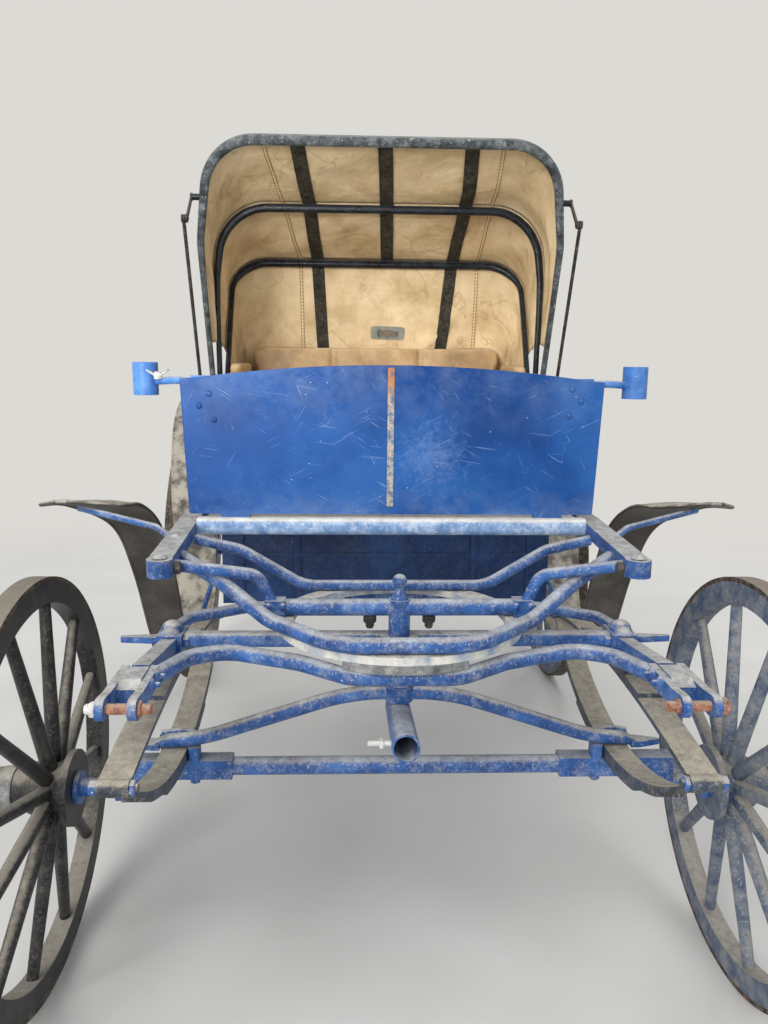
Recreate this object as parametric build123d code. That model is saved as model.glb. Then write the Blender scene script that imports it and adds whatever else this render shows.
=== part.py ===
from build123d import *
from math import asin, atan2, cos, degrees, hypot, radians, sin, tan
import os

# A pony-size hooded carriage on four wooden wheels, in millimetres.
# X is across the carriage, Y runs from front to rear, Z is up from the floor.
# Every place in this file is worked out from the driving sizes below.

# Wheels and axles
WHEELBASE = 1600.0
FRONT_WHEEL_R = 385.0
REAR_WHEEL_R = 460.0
FRONT_SPOKES = 12
REAR_SPOKES = 14
TRACK_HALF = 655.0          # centre of the carriage to the middle of a rim
TYRE_WIDTH = 36.0
TYRE_THICK = 9.0
FELLOE_WIDTH = 36.0
FELLOE_DEPTH = 40.0
DISH = 28.0                 # how far the rim stands outside the spokes' roots
SPOKE_ROOT_R = 14.0
SPOKE_TIP_R = 10.5
NAVE_R = 48.0
NAVE_FLANGE_R = 68.0
NAVE_FLANGE_THICK = 12.0
NAVE_INNER = 70.0           # rim middle to the nave's inner end
NAVE_OUTER = 88.0           # rim middle to the nose's outer end
NOSE_R = 36.0
NOSE_CAP_THICK = 8.0
ARM_R = 16.0
RUNNING_GAP = 0.06          # radial gap of a turning fit
AXLE_ROUND_R = 16.5
AXLE_SQUARE = 36.0
AXLE_ARCH = 40.0            # the bed of the front axle lies this much above its arms
SQUARE_FROM = 300.0
SQUARE_TO = 512.0
AXLE_NECK = 36.0            # the square end drops to the arm over this width
COLLAR_R = 30.0
COLLAR_THICK = 8.0

# Elliptic springs
SPRING_X = 402.0
SPRING_HALF = 388.0
SPRING_WIDTH = 44.0
LEAF_THICK = 8.0
LEAF_SHARES = (1.0, 0.72, 0.46)
UPPER_SHARES = (1.0, 0.44, 0.26)
FRONT_LOWER_RISE = 126.0
FRONT_UPPER_RISE = 30.0
REAR_RISE = 84.0
EYE_R = 12.0
EYE_BOLT_R = 6.5
EYE_BOLT_STAND = 11.0

# Turntable
KING_PIN_AHEAD = 20.0       # the king pin stands this far in front of the axle
KING_PIN_R = 11.0
RING_R = 200.0
RING_WIDTH = 30.0
RING_THICK = 13.0
RING_TOP_Z = 718.0
WEAR_THICK = 14.0
WEAR_HALF_ANGLE = 27.0
TURN_GAP = 0.4              # between the two halves of the turntable
PIPE_D = 21.0
FRONT_PIPE_D = 26.0
LOWER_FRONT_D = 27.0
LOWER_REAR_D = 22.0
BED_THICK = 26.0
BED_DEPTH = 30.0
BED_ROUND = 9.0
BED_HORN_X = 492.0
HORN_THICK = 11.0
KNUCKLE_R = 20.0
KNUCKLE_DOME = 20.0
TRANSOM_TALL = 30.0
TRANSOM_DEEP = 32.0
TRANSOM_HALF = 234.0
BARREL_R = 19.0
FINIAL_R = 13.0
FINIAL_Z = 780.0

# Shaft forks, stay bar and pole socket
FORK_REACH = 352.0          # axle to the shaft bolt
FORK_Z = 690.0
FORK_GAP = 32.0
FORK_CHEEK = 12.0
FORK_TALL = 28.0
FORK_EYE_R = 16.0
FORK_ARM = 26.0             # width of the arm behind the filler block
FORK_BLOCK_FROM = 300.0     # axle to the filler block's front end
FORK_BLOCK_TO = 222.0
FORK_BLOCK_RISE = 16.0
FORK_BOLT_R = 7.0
STAY_BAR_D = 26.0
STAY_BAR_TOP_Z = 600.0
STAY_BAR_AHEAD = 48.0
STAY_BAR_BEND_X = 84.0
STAY_BAR_BEND_R = 320.0
STAY_EYE_R = 25.0
STAY_TONGUE = 46.0          # length of each flattened end
STAY_TONGUE_THICK = 11.0
SOCKET_R = 22.0
SOCKET_WALL = 3.0
SOCKET_LENGTH = 250.0
SOCKET_TILT = 8.0
SOCKET_NOSE_AHEAD = 246.0   # axle to the socket's mouth

# Side irons, footboard and dash
IRON_X_FRONT = 405.0
IRON_X_REAR = 424.0
IRON_TOP_Z = 830.0
IRON_THICK = 26.0
IRON_WIDTH = 40.0
IRON_FRONT_Y = -62.0        # from the front axle
IRON_REAR_Y = SPRING_HALF + 228.0
BOARD_FRONT_Y = 262.0
BOARD_HALF = 383.0
RAIL_HALF = 400.0
BOARD_TALL = 34.0
BOARD_TOP_Z = IRON_TOP_Z + 8.0
DASH_Y = 268.0
DASH_THICK = 12.0
DASH_BOTTOM_Z = BOARD_TOP_Z + 7.0
DASH_CORNER_Z = 1119.0
DASH_CROWN = 28.0
DASH_HALF_BOTTOM = 415.0
DASH_HALF_TOP = 427.0
LAMP_X = 507.0
LAMP_Y = 318.0
LAMP_R = 25.5
LAMP_WALL = 2.5
LAMP_TALL = 66.0
LAMP_TOP_Z = 1150.0
BRACKET_D = 15.0

# Body
WELL_Y = SPRING_HALF + 162.0    # the springs' ends pass in front of it on full lock
WELL_HALF = 397.0
FLOOR_Z = 570.0
PANEL_THICK = 15.0
SEAT_REAR_Y = WHEELBASE + 50.0
SEAT_FRONT_Y = SEAT_REAR_Y - 600.0
SEAT_HALF = 470.0
SEAT_UNDER_Z = 722.0
SEAT_BOARD_Z = 842.0
SILL_Z = 716.0
ARM_TOP_Z = 1100.0
ARM_FRONT_Y = SEAT_REAR_Y - 460.0
BACK_TOP_Z = 1098.0
CUSHION_LEAN = 32.0         # the back cushion's top leans forward by this much
CUSHION_TALL = 108.0
BACK_CUSHION_THICK = 92.0
BACK_CUSHION_TOP_Z = 1228.0
SOFT_GAP = 0.6
ARM_PAD_TALL = 42.0
ARM_PAD_WIDE = 40.0

# Wings
WING_THICK = 5.0
WING_STEP_Z = 402.0
WING_STEP_FROM = 710.0
WING_STEP_TO = WHEELBASE - 650.0
WING_STEP_IN = 500.0
WING_STEP_OUT = 600.0
WING_STAY_D = 13.0
WING_STAY_OUT = 64.0        # the rear stays bend this far outside the seat box
WING_TOP_GAP = 86.0         # rear tyre to the wing above it

# Hood
HOOD_PIVOT_Y = SEAT_REAR_Y - 370.0
HOOD_PIVOT_Z = 1060.0
BOW_THICK = 15.0
BOW_DEEP = 20.0
BOW_ROUND = 6.0
BOW_STEP = 20.0             # each bow stands this much inside the one before it
LEATHER = 3.0
LEATHER_START = 150.0       # pivot to the leather's lower edge
HOOD_PIN_R = 7.0
HOOD_KNEE = 0.62            # share of a bow's reach where its legs start to lean in
LEATHER_GAP = 6.4           # bow to the leather over it
BACK_RAIL_ANGLE = 85.0
STAY_ROD_D = 10.0
STAY_ROD_X = SEAT_HALF + 74.0
STAY_STUB_R = 9.0
STAY_PIN_R = 4.0
STAY_TOP_ON_BOW = 588.0
STAY_SHIFT_Y = -80.0        # the stay's foot and head stand this far off the bow's line
STAY_SHIFT_Z = -70.0
STAY_LINK_THICK = 5.0

FRONT_REACH = SPRING_HALF + EYE_R
LENGTH = FRONT_REACH + WHEELBASE + REAR_WHEEL_R
FRONT_AXLE_Y = FRONT_REACH - LENGTH / 2
REAR_AXLE_Y = FRONT_AXLE_Y + WHEELBASE
KING_Y = FRONT_AXLE_Y - KING_PIN_AHEAD
AXLE_BED_Z = FRONT_WHEEL_R + AXLE_ARCH
BED_TOP_Z = RING_TOP_Z - RING_THICK - TURN_GAP - WEAR_THICK - 9.0
BED_Z = BED_TOP_Z - BED_THICK / 2

parts = {}


def fy(behind):
    """A place measured backwards from the front axle."""
    return FRONT_AXLE_Y + behind


def mirrored(shape):
    """The shape and its twin on the other side of the carriage."""
    return [shape, mirror(shape, about=Plane.YZ)]


def cylinder_between(a, b, radius):
    """A round bar from point a to point b."""
    a, b = Vector(*a), Vector(*b)
    run = b - a
    plane = Plane(origin=a, z_dir=run)
    return extrude(plane * Circle(radius), run.length)


def pipe(points, radii, diameter):
    """A round bar bent along a line of points, with one bend radius for each corner."""
    path = FilletPolyline(*points, radius=radii)
    start = Plane(origin=path @ 0, z_dir=path % 0)
    return sweep(start * Circle(diameter / 2), path=path)


def both_sides(half):
    """Points of a cross bar: the left half, then its mirror image."""
    return [(-x, y, z) for x, y, z in half] + [(x, y, z) for x, y, z in reversed(half)]


def side_plate(points, x_from, thick):
    """A flat plate standing lengthwise, from its outline in Y and Z."""
    face = make_face(Polyline(*[(x_from, y, z) for y, z in points], close=True))
    return extrude(face, thick, dir=(1, 0, 0))


# Wheels: a turned nave, tapered spokes set at a dish, a felloe ring and an iron tyre.
def wheel_wood(radius, spokes):
    """Nave, spokes and felloe about the X axis, with the rim's middle at the origin."""
    felloe_outer = radius - TYRE_THICK
    felloe_inner = felloe_outer - FELLOE_DEPTH
    rim = Cylinder(felloe_outer, FELLOE_WIDTH) - Cylinder(felloe_inner, FELLOE_WIDTH)
    root_x = -DISH
    flange_in = -NAVE_INNER + NAVE_FLANGE_THICK
    outline = [
        (-NAVE_INNER, 0), (-NAVE_INNER, NAVE_FLANGE_R), (flange_in, NAVE_FLANGE_R),
        (flange_in, NAVE_R), (root_x + 2 * SPOKE_ROOT_R, NAVE_R),
        (root_x + 2 * SPOKE_ROOT_R + 8, NOSE_R + 4), (NAVE_OUTER - 14, NOSE_R),
        (NAVE_OUTER - 6, NOSE_R - 3), (NAVE_OUTER, NOSE_R - 10), (NAVE_OUTER, 0),
    ]
    half = make_face(Polyline(*[(r, 0, x) for x, r in outline], close=True))
    nave = revolve(half, Axis.Z)
    bore_length = NAVE_INNER + NAVE_OUTER - NOSE_CAP_THICK
    bore = Pos(0, 0, -NAVE_INNER + bore_length / 2) * Cylinder(ARM_R + RUNNING_GAP, bore_length)
    foot = NAVE_R - 8
    reach = felloe_inner + 5 - foot
    lean = degrees(atan2(DISH, reach))
    length = hypot(DISH, reach)
    # A cone along +Z is laid along the radius, leaning towards the outside.
    spoke = Pos(0, 0, length / 2) * Cone(SPOKE_ROOT_R, SPOKE_TIP_R, length)
    spoke = Pos(foot, 0, root_x) * Rot(0, 90 - lean, 0) * spoke
    wood = nave
    for i in range(spokes):
        wood = wood + Rot(0, 0, 360 * (i + 0.5) / spokes) * spoke
    wood = wood + rim - bore
    return Rot(0, 90, 0) * wood


def wheel_tyre(radius):
    """Iron hoop shrunk on the felloe."""
    hoop = Cylinder(radius, TYRE_WIDTH) - Cylinder(radius - TYRE_THICK, TYRE_WIDTH)
    return Rot(0, 90, 0) * hoop


# Each wheel: name, side, place along the carriage, radius, spokes.
WHEELS = (
    ("front_left", -1, FRONT_AXLE_Y, FRONT_WHEEL_R, FRONT_SPOKES),
    ("front_right", 1, FRONT_AXLE_Y, FRONT_WHEEL_R, FRONT_SPOKES),
    ("rear_left", -1, REAR_AXLE_Y, REAR_WHEEL_R, REAR_SPOKES),
    ("rear_right", 1, REAR_AXLE_Y, REAR_WHEEL_R, REAR_SPOKES),
)


def make_wheels():
    """The four wheels, the left ones turned about so that their nose faces outwards."""
    made = {}
    for name, side, y, radius, spokes in WHEELS:
        if radius not in made:
            made[radius] = (wheel_wood(radius, spokes), wheel_tyre(radius))
        turn = Rot(0, 0, 0 if side > 0 else 180)
        place = Pos(side * TRACK_HALF, y, radius)
        wood, tyre = made[radius]
        parts[name + "_wheel"] = place * turn * wood
        parts[name + "_tyre"] = place * turn * tyre


def make_axle(name, y, arm_z, bed_z):
    """A cross axle: round bed, square ends at the springs, a neck down to a turned arm in each hub."""
    arm_end = TRACK_HALF + NAVE_OUTER - NOSE_CAP_THICK - 6
    collar_to = TRACK_HALF - NAVE_INNER - 1.0
    axle = Rot(0, 90, 0) * Cylinder(AXLE_ROUND_R, 2 * SQUARE_FROM + 10)
    axle = Pos(0, y, bed_z) * axle
    top = bed_z + AXLE_SQUARE / 2
    bottom = arm_z - AXLE_SQUARE / 2
    for side in (-1, 1):
        mid = side * (SQUARE_FROM + SQUARE_TO) / 2
        axle += Pos(mid, y, bed_z) * Box(SQUARE_TO - SQUARE_FROM, AXLE_SQUARE, AXLE_SQUARE)
        neck = side * (SQUARE_TO - AXLE_NECK / 2)
        axle += Pos(neck, y, (top + bottom) / 2) * Box(AXLE_NECK, AXLE_SQUARE, top - bottom)
        axle += cylinder_between((side * (SQUARE_TO - 5), y, arm_z), (side * arm_end, y, arm_z), ARM_R)
        axle += cylinder_between((side * (collar_to - COLLAR_THICK), y, arm_z), (side * collar_to, y, arm_z), COLLAR_R)
    parts[name] = axle


# Springs
def leaf(radius, half, thick):
    """One bent leaf: a sector of a ring about the origin, hanging below it, in Y and Z."""
    a = asin(half / (radius + thick / 2))
    outer = radius + thick
    inner_arc = ThreePointArc(
        (0, -radius * sin(a), -radius * cos(a)), (0, 0, -radius), (0, radius * sin(a), -radius * cos(a))
    )
    outer_arc = ThreePointArc(
        (0, outer * sin(a), -outer * cos(a)), (0, 0, -outer), (0, -outer * sin(a), -outer * cos(a))
    )
    edges = [inner_arc, Line(inner_arc @ 1, outer_arc @ 0), outer_arc, Line(outer_arc @ 1, inner_arc @ 0)]
    return extrude(make_face(edges), SPRING_WIDTH / 2, both=True, dir=(1, 0, 0))


def half_spring(rise, shares):
    """The lower half of an elliptic spring: its eyes lie at the origin's height."""
    ring = (SPRING_HALF ** 2 + rise ** 2) / (2 * rise)
    pack = None
    for i, share in enumerate(shares):
        one = leaf(ring + i * LEAF_THICK, SPRING_HALF * share, LEAF_THICK)
        pack = one if pack is None else pack + one
    return Pos(0, 0, ring - rise) * pack


def elliptic(lower_rise, upper_rise):
    """A full elliptic spring about its eyes, with the eye bolts."""
    upper = mirror(half_spring(upper_rise, UPPER_SHARES), about=Plane.XY)
    spring = half_spring(lower_rise, LEAF_SHARES) + upper
    for end in (-1, 1):
        eye = Pos(0, end * SPRING_HALF, 0) * Rot(0, 90, 0) * Cylinder(EYE_R, SPRING_WIDTH)
        bolt = Pos(0, end * SPRING_HALF, 0) * Rot(0, 90, 0) * Cylinder(
            EYE_BOLT_R, SPRING_WIDTH + 2 * EYE_BOLT_STAND)
        spring = spring + eye + bolt
    return spring


PACK = LEAF_THICK * len(LEAF_SHARES)
FRONT_LEAF_BOTTOM = AXLE_BED_Z + AXLE_SQUARE / 2
FRONT_EYE_Z = FRONT_LEAF_BOTTOM + PACK + FRONT_LOWER_RISE
FRONT_LEAF_TOP = FRONT_EYE_Z + FRONT_UPPER_RISE + PACK
REAR_LEAF_BOTTOM = REAR_WHEEL_R + AXLE_SQUARE / 2
REAR_EYE_Z = REAR_LEAF_BOTTOM + PACK + REAR_RISE
REAR_LEAF_TOP = REAR_EYE_Z + REAR_RISE + PACK


def make_springs():
    """Two springs on each axle."""
    front = Pos(SPRING_X, FRONT_AXLE_Y, FRONT_EYE_Z) * elliptic(FRONT_LOWER_RISE, FRONT_UPPER_RISE)
    rear = Pos(SPRING_X, REAR_AXLE_Y, REAR_EYE_Z) * elliptic(REAR_RISE, REAR_RISE)
    parts["front_springs"] = Compound(children=mirrored(front))
    parts["rear_springs"] = Compound(children=mirrored(rear))


# Turning part of the front carriage
def make_bed():
    """Rounded cross bed under the turntable, with a domed knuckle over each spring and flat horns."""
    bed = Box(2 * SPRING_X, BED_DEPTH, BED_THICK)
    bed = Pos(0, FRONT_AXLE_Y, BED_Z) * fillet(bed.edges().filter_by(Axis.X), BED_ROUND)
    for side in (-1, 1):
        x = side * SPRING_X
        root, tip = side * (SPRING_X + KNUCKLE_R), side * BED_HORN_X
        horn = [
            (x, BED_DEPTH / 2 - 3), (root, BED_DEPTH / 2 - 3), (tip, 4), (tip, -4),
            (root, 3 - BED_DEPTH / 2), (x, 3 - BED_DEPTH / 2),
        ]
        face = make_face(Polyline(*[(px, FRONT_AXLE_Y + py, BED_Z) for px, py in horn], close=True))
        bed += extrude(face, HORN_THICK / 2, both=True, dir=(0, 0, 1))
        block_low = FRONT_LEAF_TOP
        block_high = BED_TOP_Z + 2
        bed += Pos(x, FRONT_AXLE_Y, (block_low + block_high) / 2) * Box(
            SPRING_WIDTH, 62, block_high - block_low)
        bed += Pos(x, FRONT_AXLE_Y, block_high) * Sphere(KNUCKLE_DOME)
    bed += Pos(0, KING_Y, BED_Z) * Cylinder(34, BED_THICK)
    bed -= Pos(0, KING_Y, BED_Z) * Cylinder(KING_PIN_R + RUNNING_GAP, 4 * BED_THICK)
    parts["turntable_bed"] = bed


WEAR_TOP_Z = RING_TOP_Z - RING_THICK - TURN_GAP
SADDLE = 2.0                 # the lower pipes are let into the wear plates by this much


def wear_plate(ahead):
    """A curved plate under the front or rear of the ring."""
    full = Cylinder(RING_R + RING_WIDTH / 2, WEAR_THICK) - Cylinder(RING_R - RING_WIDTH / 2, WEAR_THICK)
    reach = RING_R + RING_WIDTH
    spread = reach * tan(radians(WEAR_HALF_ANGLE))
    tip = -reach if ahead else reach
    wedge = extrude(make_face(Polyline((0, 0, 0), (spread, tip, 0), (-spread, tip, 0), close=True)),
                    WEAR_THICK, both=True, dir=(0, 0, 1))
    return Pos(0, KING_Y, WEAR_TOP_Z - WEAR_THICK / 2) * (full & wedge)


def make_lower_pipes():
    """Bent pipes that carry the turntable's wear plates, from knuckle to knuckle."""
    inner = SPRING_X - FORK_GAP / 2 - FORK_CHEEK
    z = WEAR_TOP_Z - WEAR_THICK - LOWER_FRONT_D / 2 + SADDLE
    front = [
        (inner + 5, fy(-FORK_BLOCK_TO - 14), FORK_Z), (inner - 24, fy(-128), z + 2), (inner - 82, fy(-94), z),
        (RING_R - 32, fy(-148), z),
        (84, KING_Y - RING_R + 6, z),
    ]
    radii = [60, 60, 70, 60, 60, 70, 60, 60]
    parts["lower_front_pipe"] = pipe(both_sides(front), radii, LOWER_FRONT_D) + wear_plate(True)
    parts["lower_front_pipe"] -= parts["shaft_forks"]
    z = WEAR_TOP_Z - WEAR_THICK - LOWER_REAR_D / 2 + SADDLE
    rear = [
        (SPRING_X - 4, fy(26), z), (SPRING_X - 18, fy(84), z), (SPRING_X - 112, fy(146), z),
        (96, KING_Y + RING_R - 4, z),
    ]
    radii = [30, 60, 90, 90, 60, 30]
    parts["lower_rear_pipe"] = pipe(both_sides(rear), radii, LOWER_REAR_D) + wear_plate(False)
    parts["lower_rear_pipe"] -= parts["turntable_bed"]


def make_forks():
    """Shaft forks: an arm from each knuckle, a filler block and two eyed cheeks with a cross bolt."""
    bolt_y, block_front, block_rear = fy(-FORK_REACH), fy(-FORK_BLOCK_FROM), fy(-FORK_BLOCK_TO)
    root_y = fy(-31)
    inner = SPRING_X - FORK_GAP / 2 - FORK_CHEEK
    outer = SPRING_X + FORK_GAP / 2
    low_root = FRONT_LEAF_TOP + 4
    low, high = FORK_Z - FORK_TALL / 2, FORK_Z + FORK_TALL / 2
    arm = [(root_y, low_root), (root_y, low_root + FORK_TALL), (block_rear, high), (block_rear, low)]
    fork = side_plate(arm, SPRING_X - FORK_ARM / 2, FORK_ARM)
    block = [
        (block_rear, low), (block_rear, high - 4), (block_rear - 12, FORK_Z + FORK_BLOCK_RISE),
        (block_front + 16, FORK_Z + FORK_BLOCK_RISE), (block_front, high - 8), (block_front, low),
    ]
    fork += side_plate(block, SPRING_X - FORK_GAP / 2, FORK_GAP)
    cheek = [
        (block_rear, low), (block_rear, high), (bolt_y + 2 * FORK_EYE_R, high - 1),
        (bolt_y, FORK_Z + FORK_EYE_R), (bolt_y, FORK_Z - FORK_EYE_R), (bolt_y + 2 * FORK_EYE_R, low + 1),
    ]
    for x in (inner, outer):
        fork += side_plate(cheek, x, FORK_CHEEK)
        fork += cylinder_between((x, bolt_y, FORK_Z), (x + FORK_CHEEK, bolt_y, FORK_Z), FORK_EYE_R)
    head = 12.0
    fork += cylinder_between((inner - head, bolt_y, FORK_Z), (outer + FORK_CHEEK + head, bolt_y, FORK_Z), FORK_BOLT_R)
    parts["shaft_forks"] = Compound(children=mirrored(fork))


def make_stay_bar():
    """Round bar over both front spring seats, arched up to the pole socket, with flattened ends."""
    low = FRONT_LEAF_BOTTOM + PACK + 0.4
    r = STAY_BAR_D / 2
    end_x = SPRING_X + SPRING_WIDTH / 2 + 14
    half = [
        (end_x, fy(-10), low + r), (SPRING_X - SPRING_WIDTH / 2 - 12, fy(-12), low + r),
        (STAY_BAR_BEND_X, fy(-STAY_BAR_AHEAD), STAY_BAR_TOP_Z - r),
    ]
    bar = pipe(both_sides(half), 4 * [STAY_BAR_BEND_R], STAY_BAR_D)
    bar += Pos(0, fy(-STAY_BAR_AHEAD), STAY_BAR_TOP_Z - r) * Cylinder(STAY_EYE_R, STAY_BAR_D)
    flat_z = low + STAY_TONGUE_THICK
    for side in (-1, 1):
        # The end is beaten flat: a slope takes the bar's top down to a pointed tongue.
        slope = [
            (side * (end_x - 34), low + STAY_BAR_D + 1), (side * (end_x + 1), flat_z),
            (side * (end_x + 1), low + STAY_BAR_D + 1),
        ]
        cut = make_face(Polyline(*[(x, fy(-10), z) for x, z in slope], close=True))
        bar -= extrude(cut, STAY_BAR_D, both=True, dir=(0, 1, 0))
        plan = [
            (end_x - 10, -r - 12), (end_x + 6, -r - 12), (end_x + STAY_TONGUE, -12), (end_x + STAY_TONGUE, -8),
            (end_x + 6, r - 8), (end_x - 10, r - 8),
        ]
        tongue = make_face(Polyline(*[(side * x, fy(y), low) for x, y in plan], close=True))
        bar += extrude(tongue, STAY_TONGUE_THICK, dir=(0, 0, 1))
    parts["stay_bar"] = bar


def make_pole_socket():
    """Open tube for the pole, hung under the stay bar and pointing a little upwards."""
    tilt = radians(SOCKET_TILT)
    seat_y = fy(-STAY_BAR_AHEAD)
    under_z = STAY_BAR_TOP_Z - STAY_BAR_D
    seat_z = under_z - SOCKET_R / cos(tilt) - STAY_EYE_R * tan(tilt)
    nose_y = fy(-SOCKET_NOSE_AHEAD)
    nose = Vector(0, nose_y, seat_z + (seat_y - nose_y) * tan(tilt))
    back = nose + Vector(0, cos(tilt), -sin(tilt)) * SOCKET_LENGTH
    outer = cylinder_between(nose, back, SOCKET_R)
    inner = cylinder_between(nose, nose + (back - nose) * 0.94, SOCKET_R - SOCKET_WALL)
    saddle = Pos(0, seat_y, under_z - 4) * Box(34, STAY_BAR_D, 8)
    parts["pole_socket"] = outer + saddle - inner - parts["stay_bar"]


# Fixed part of the turntable
def make_ring():
    """Flat ring that the body rests and turns on."""
    ring = Cylinder(RING_R + RING_WIDTH / 2, RING_THICK) - Cylinder(RING_R - RING_WIDTH / 2, RING_THICK)
    parts["turntable_ring"] = Pos(0, KING_Y, RING_TOP_Z - RING_THICK / 2) * ring


def make_transom():
    """Cross bar over the king pin, with a bent arm from each end up to the side irons."""
    mid_z = RING_TOP_Z + TRANSOM_TALL / 2
    square = TRANSOM_HALF - 34
    bar = Pos(0, KING_Y, mid_z) * Box(2 * TRANSOM_HALF, TRANSOM_DEEP, TRANSOM_TALL)
    bar -= Pos(0, KING_Y, mid_z) * (
        Box(2 * square, TRANSOM_DEEP + 2, TRANSOM_TALL + 2)
        - Rot(0, 90, 0) * Cylinder(TRANSOM_TALL / 2, 2 * square + 2))
    barrel_low = BED_TOP_Z + TURN_GAP
    barrel = Pos(0, KING_Y, (barrel_low + mid_z + TRANSOM_TALL / 2) / 2) * Cylinder(
        BARREL_R, mid_z + TRANSOM_TALL / 2 - barrel_low)
    bar += barrel
    arm_z = IRON_TOP_Z - IRON_THICK / 2
    for side in (-1, 1):
        arm = [
            (side * (IRON_X_FRONT - 8), fy(-34), arm_z - 4), (side * 308, KING_Y, arm_z - 18),
            (side * 246, KING_Y, arm_z - 26), (side * (TRANSOM_HALF - 14), KING_Y, mid_z),
        ]
        bar += pipe(arm, [40, 30], PIPE_D)
    bar -= Pos(0, KING_Y, mid_z) * Cylinder(KING_PIN_R, 400)
    parts["transom"] = bar - parts["side_irons"]


def make_upper_pipes():
    """Bent pipes on the ring's front and rear, up to the side irons."""
    z = RING_TOP_Z + FRONT_PIPE_D / 2
    arm_z = IRON_TOP_Z - IRON_THICK / 2
    inner = IRON_X_FRONT - IRON_WIDTH / 2 + 6
    front = [
        (inner, fy(48), arm_z - 10), (312, fy(-10), 776), (222, fy(-88), z), (108, KING_Y - RING_R + 4, z),
    ]
    parts["upper_front_pipe"] = pipe(both_sides(front), [110, 90, 110, 110, 90, 110], FRONT_PIPE_D)
    parts["upper_front_pipe"] -= parts["side_irons"]
    z = RING_TOP_Z + PIPE_D / 2
    rear = [(inner, fy(186), arm_z - 8), (300, fy(172), 792), (176, fy(140), z)]
    parts["upper_rear_pipe"] = pipe(both_sides(rear), [70, 90, 90, 70], PIPE_D) - parts["side_irons"]


def make_king_pin():
    """Turned king pin with a ball finial above the transom and a nut under the bed."""
    top = RING_TOP_Z + TRANSOM_TALL
    low = BED_TOP_Z - BED_THICK - 14
    pin = Pos(0, KING_Y, (low + top) / 2) * Cylinder(KING_PIN_R, top - low)
    pin += Pos(0, KING_Y, low + 5.5) * Cylinder(KING_PIN_R + 7, 11)
    neck = FINIAL_Z - top
    pin += Pos(0, KING_Y, top + neck * 0.3) * Cone(BARREL_R - 3, 6.5, neck * 0.6)
    pin += Pos(0, KING_Y, top + neck * 0.7) * Cylinder(6.5, neck * 0.6)
    pin += Pos(0, KING_Y, FINIAL_Z) * Sphere(FINIAL_R)
    parts["king_pin"] = pin


def make_side_irons():
    """Flat-topped side irons with a round boss in front, from the turntable to the body."""
    low = IRON_TOP_Z - IRON_THICK
    half = IRON_WIDTH / 2
    plan = [
        (IRON_X_FRONT - half, fy(IRON_FRONT_Y)), (IRON_X_FRONT + half, fy(IRON_FRONT_Y)),
        (IRON_X_REAR + half, fy(BOARD_FRONT_Y + 40)), (IRON_X_REAR + half, fy(IRON_REAR_Y)),
        (IRON_X_REAR - half, fy(IRON_REAR_Y)), (IRON_X_REAR - half, fy(BOARD_FRONT_Y + 40)),
    ]
    iron = extrude(make_face(Polyline(*[(x, y, low) for x, y in plan], close=True)), IRON_THICK, dir=(0, 0, 1))
    boss = Pos(IRON_X_FRONT, fy(IRON_FRONT_Y), IRON_TOP_Z - IRON_THICK / 2 - 2) * Cylinder(half + 2, IRON_THICK + 4)
    # Under its rear end a block bolts it to the side of the foot well.
    block_to = IRON_X_REAR + half
    block = Pos((WELL_HALF + block_to) / 2, fy(IRON_REAR_Y - 22), low - 20) * Box(block_to - WELL_HALF, 44, 42)
    parts["side_irons"] = Compound(children=mirrored(iron + boss + block))


# Body
def make_footboard():
    """Footboard with a rounded front rail."""
    rail = Pos(0, fy(BOARD_FRONT_Y), BOARD_TOP_Z - BOARD_TALL / 2) * Box(2 * RAIL_HALF, 36, BOARD_TALL)
    rail = fillet(rail.edges().filter_by(Axis.X).group_by(Axis.Y)[0], 14)
    board_from = fy(BOARD_FRONT_Y) + 18
    board_to = fy(WELL_Y) + PANEL_THICK
    board = Pos(0, (board_from + board_to) / 2, BOARD_TOP_Z - 9) * Box(2 * BOARD_HALF, board_to - board_from, 18)
    parts["footboard"] = rail + board


def dash_outline(y):
    """The dash's outline: straight sides, short flat shoulders and an arched top."""
    shoulder = DASH_HALF_TOP - 28
    left = Line((-DASH_HALF_BOTTOM, y, DASH_BOTTOM_Z), (-DASH_HALF_TOP, y, DASH_CORNER_Z))
    flat_l = Line(left @ 1, (-shoulder, y, DASH_CORNER_Z))
    arch = ThreePointArc(flat_l @ 1, (0, y, DASH_CORNER_Z + DASH_CROWN), (shoulder, y, DASH_CORNER_Z))
    flat_r = Line(arch @ 1, (DASH_HALF_TOP, y, DASH_CORNER_Z))
    right = Line(flat_r @ 1, (DASH_HALF_BOTTOM, y, DASH_BOTTOM_Z))
    bottom = Line(right @ 1, left @ 0)
    return make_face([left, flat_l, arch, flat_r, right, bottom])


def make_dash():
    """Dash panel with two ears that bolt it to the footboard."""
    y = fy(DASH_Y)
    panel = extrude(dash_outline(y), DASH_THICK, dir=(0, 1, 0))
    for x in (-BOARD_HALF + 60, BOARD_HALF - 60):
        panel += Pos(x, y + DASH_THICK / 2, (DASH_BOTTOM_Z + BOARD_TOP_Z) / 2 + 6) * Box(60, DASH_THICK, DASH_BOTTOM_Z - BOARD_TOP_Z + 12)
    parts["dash"] = panel


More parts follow.
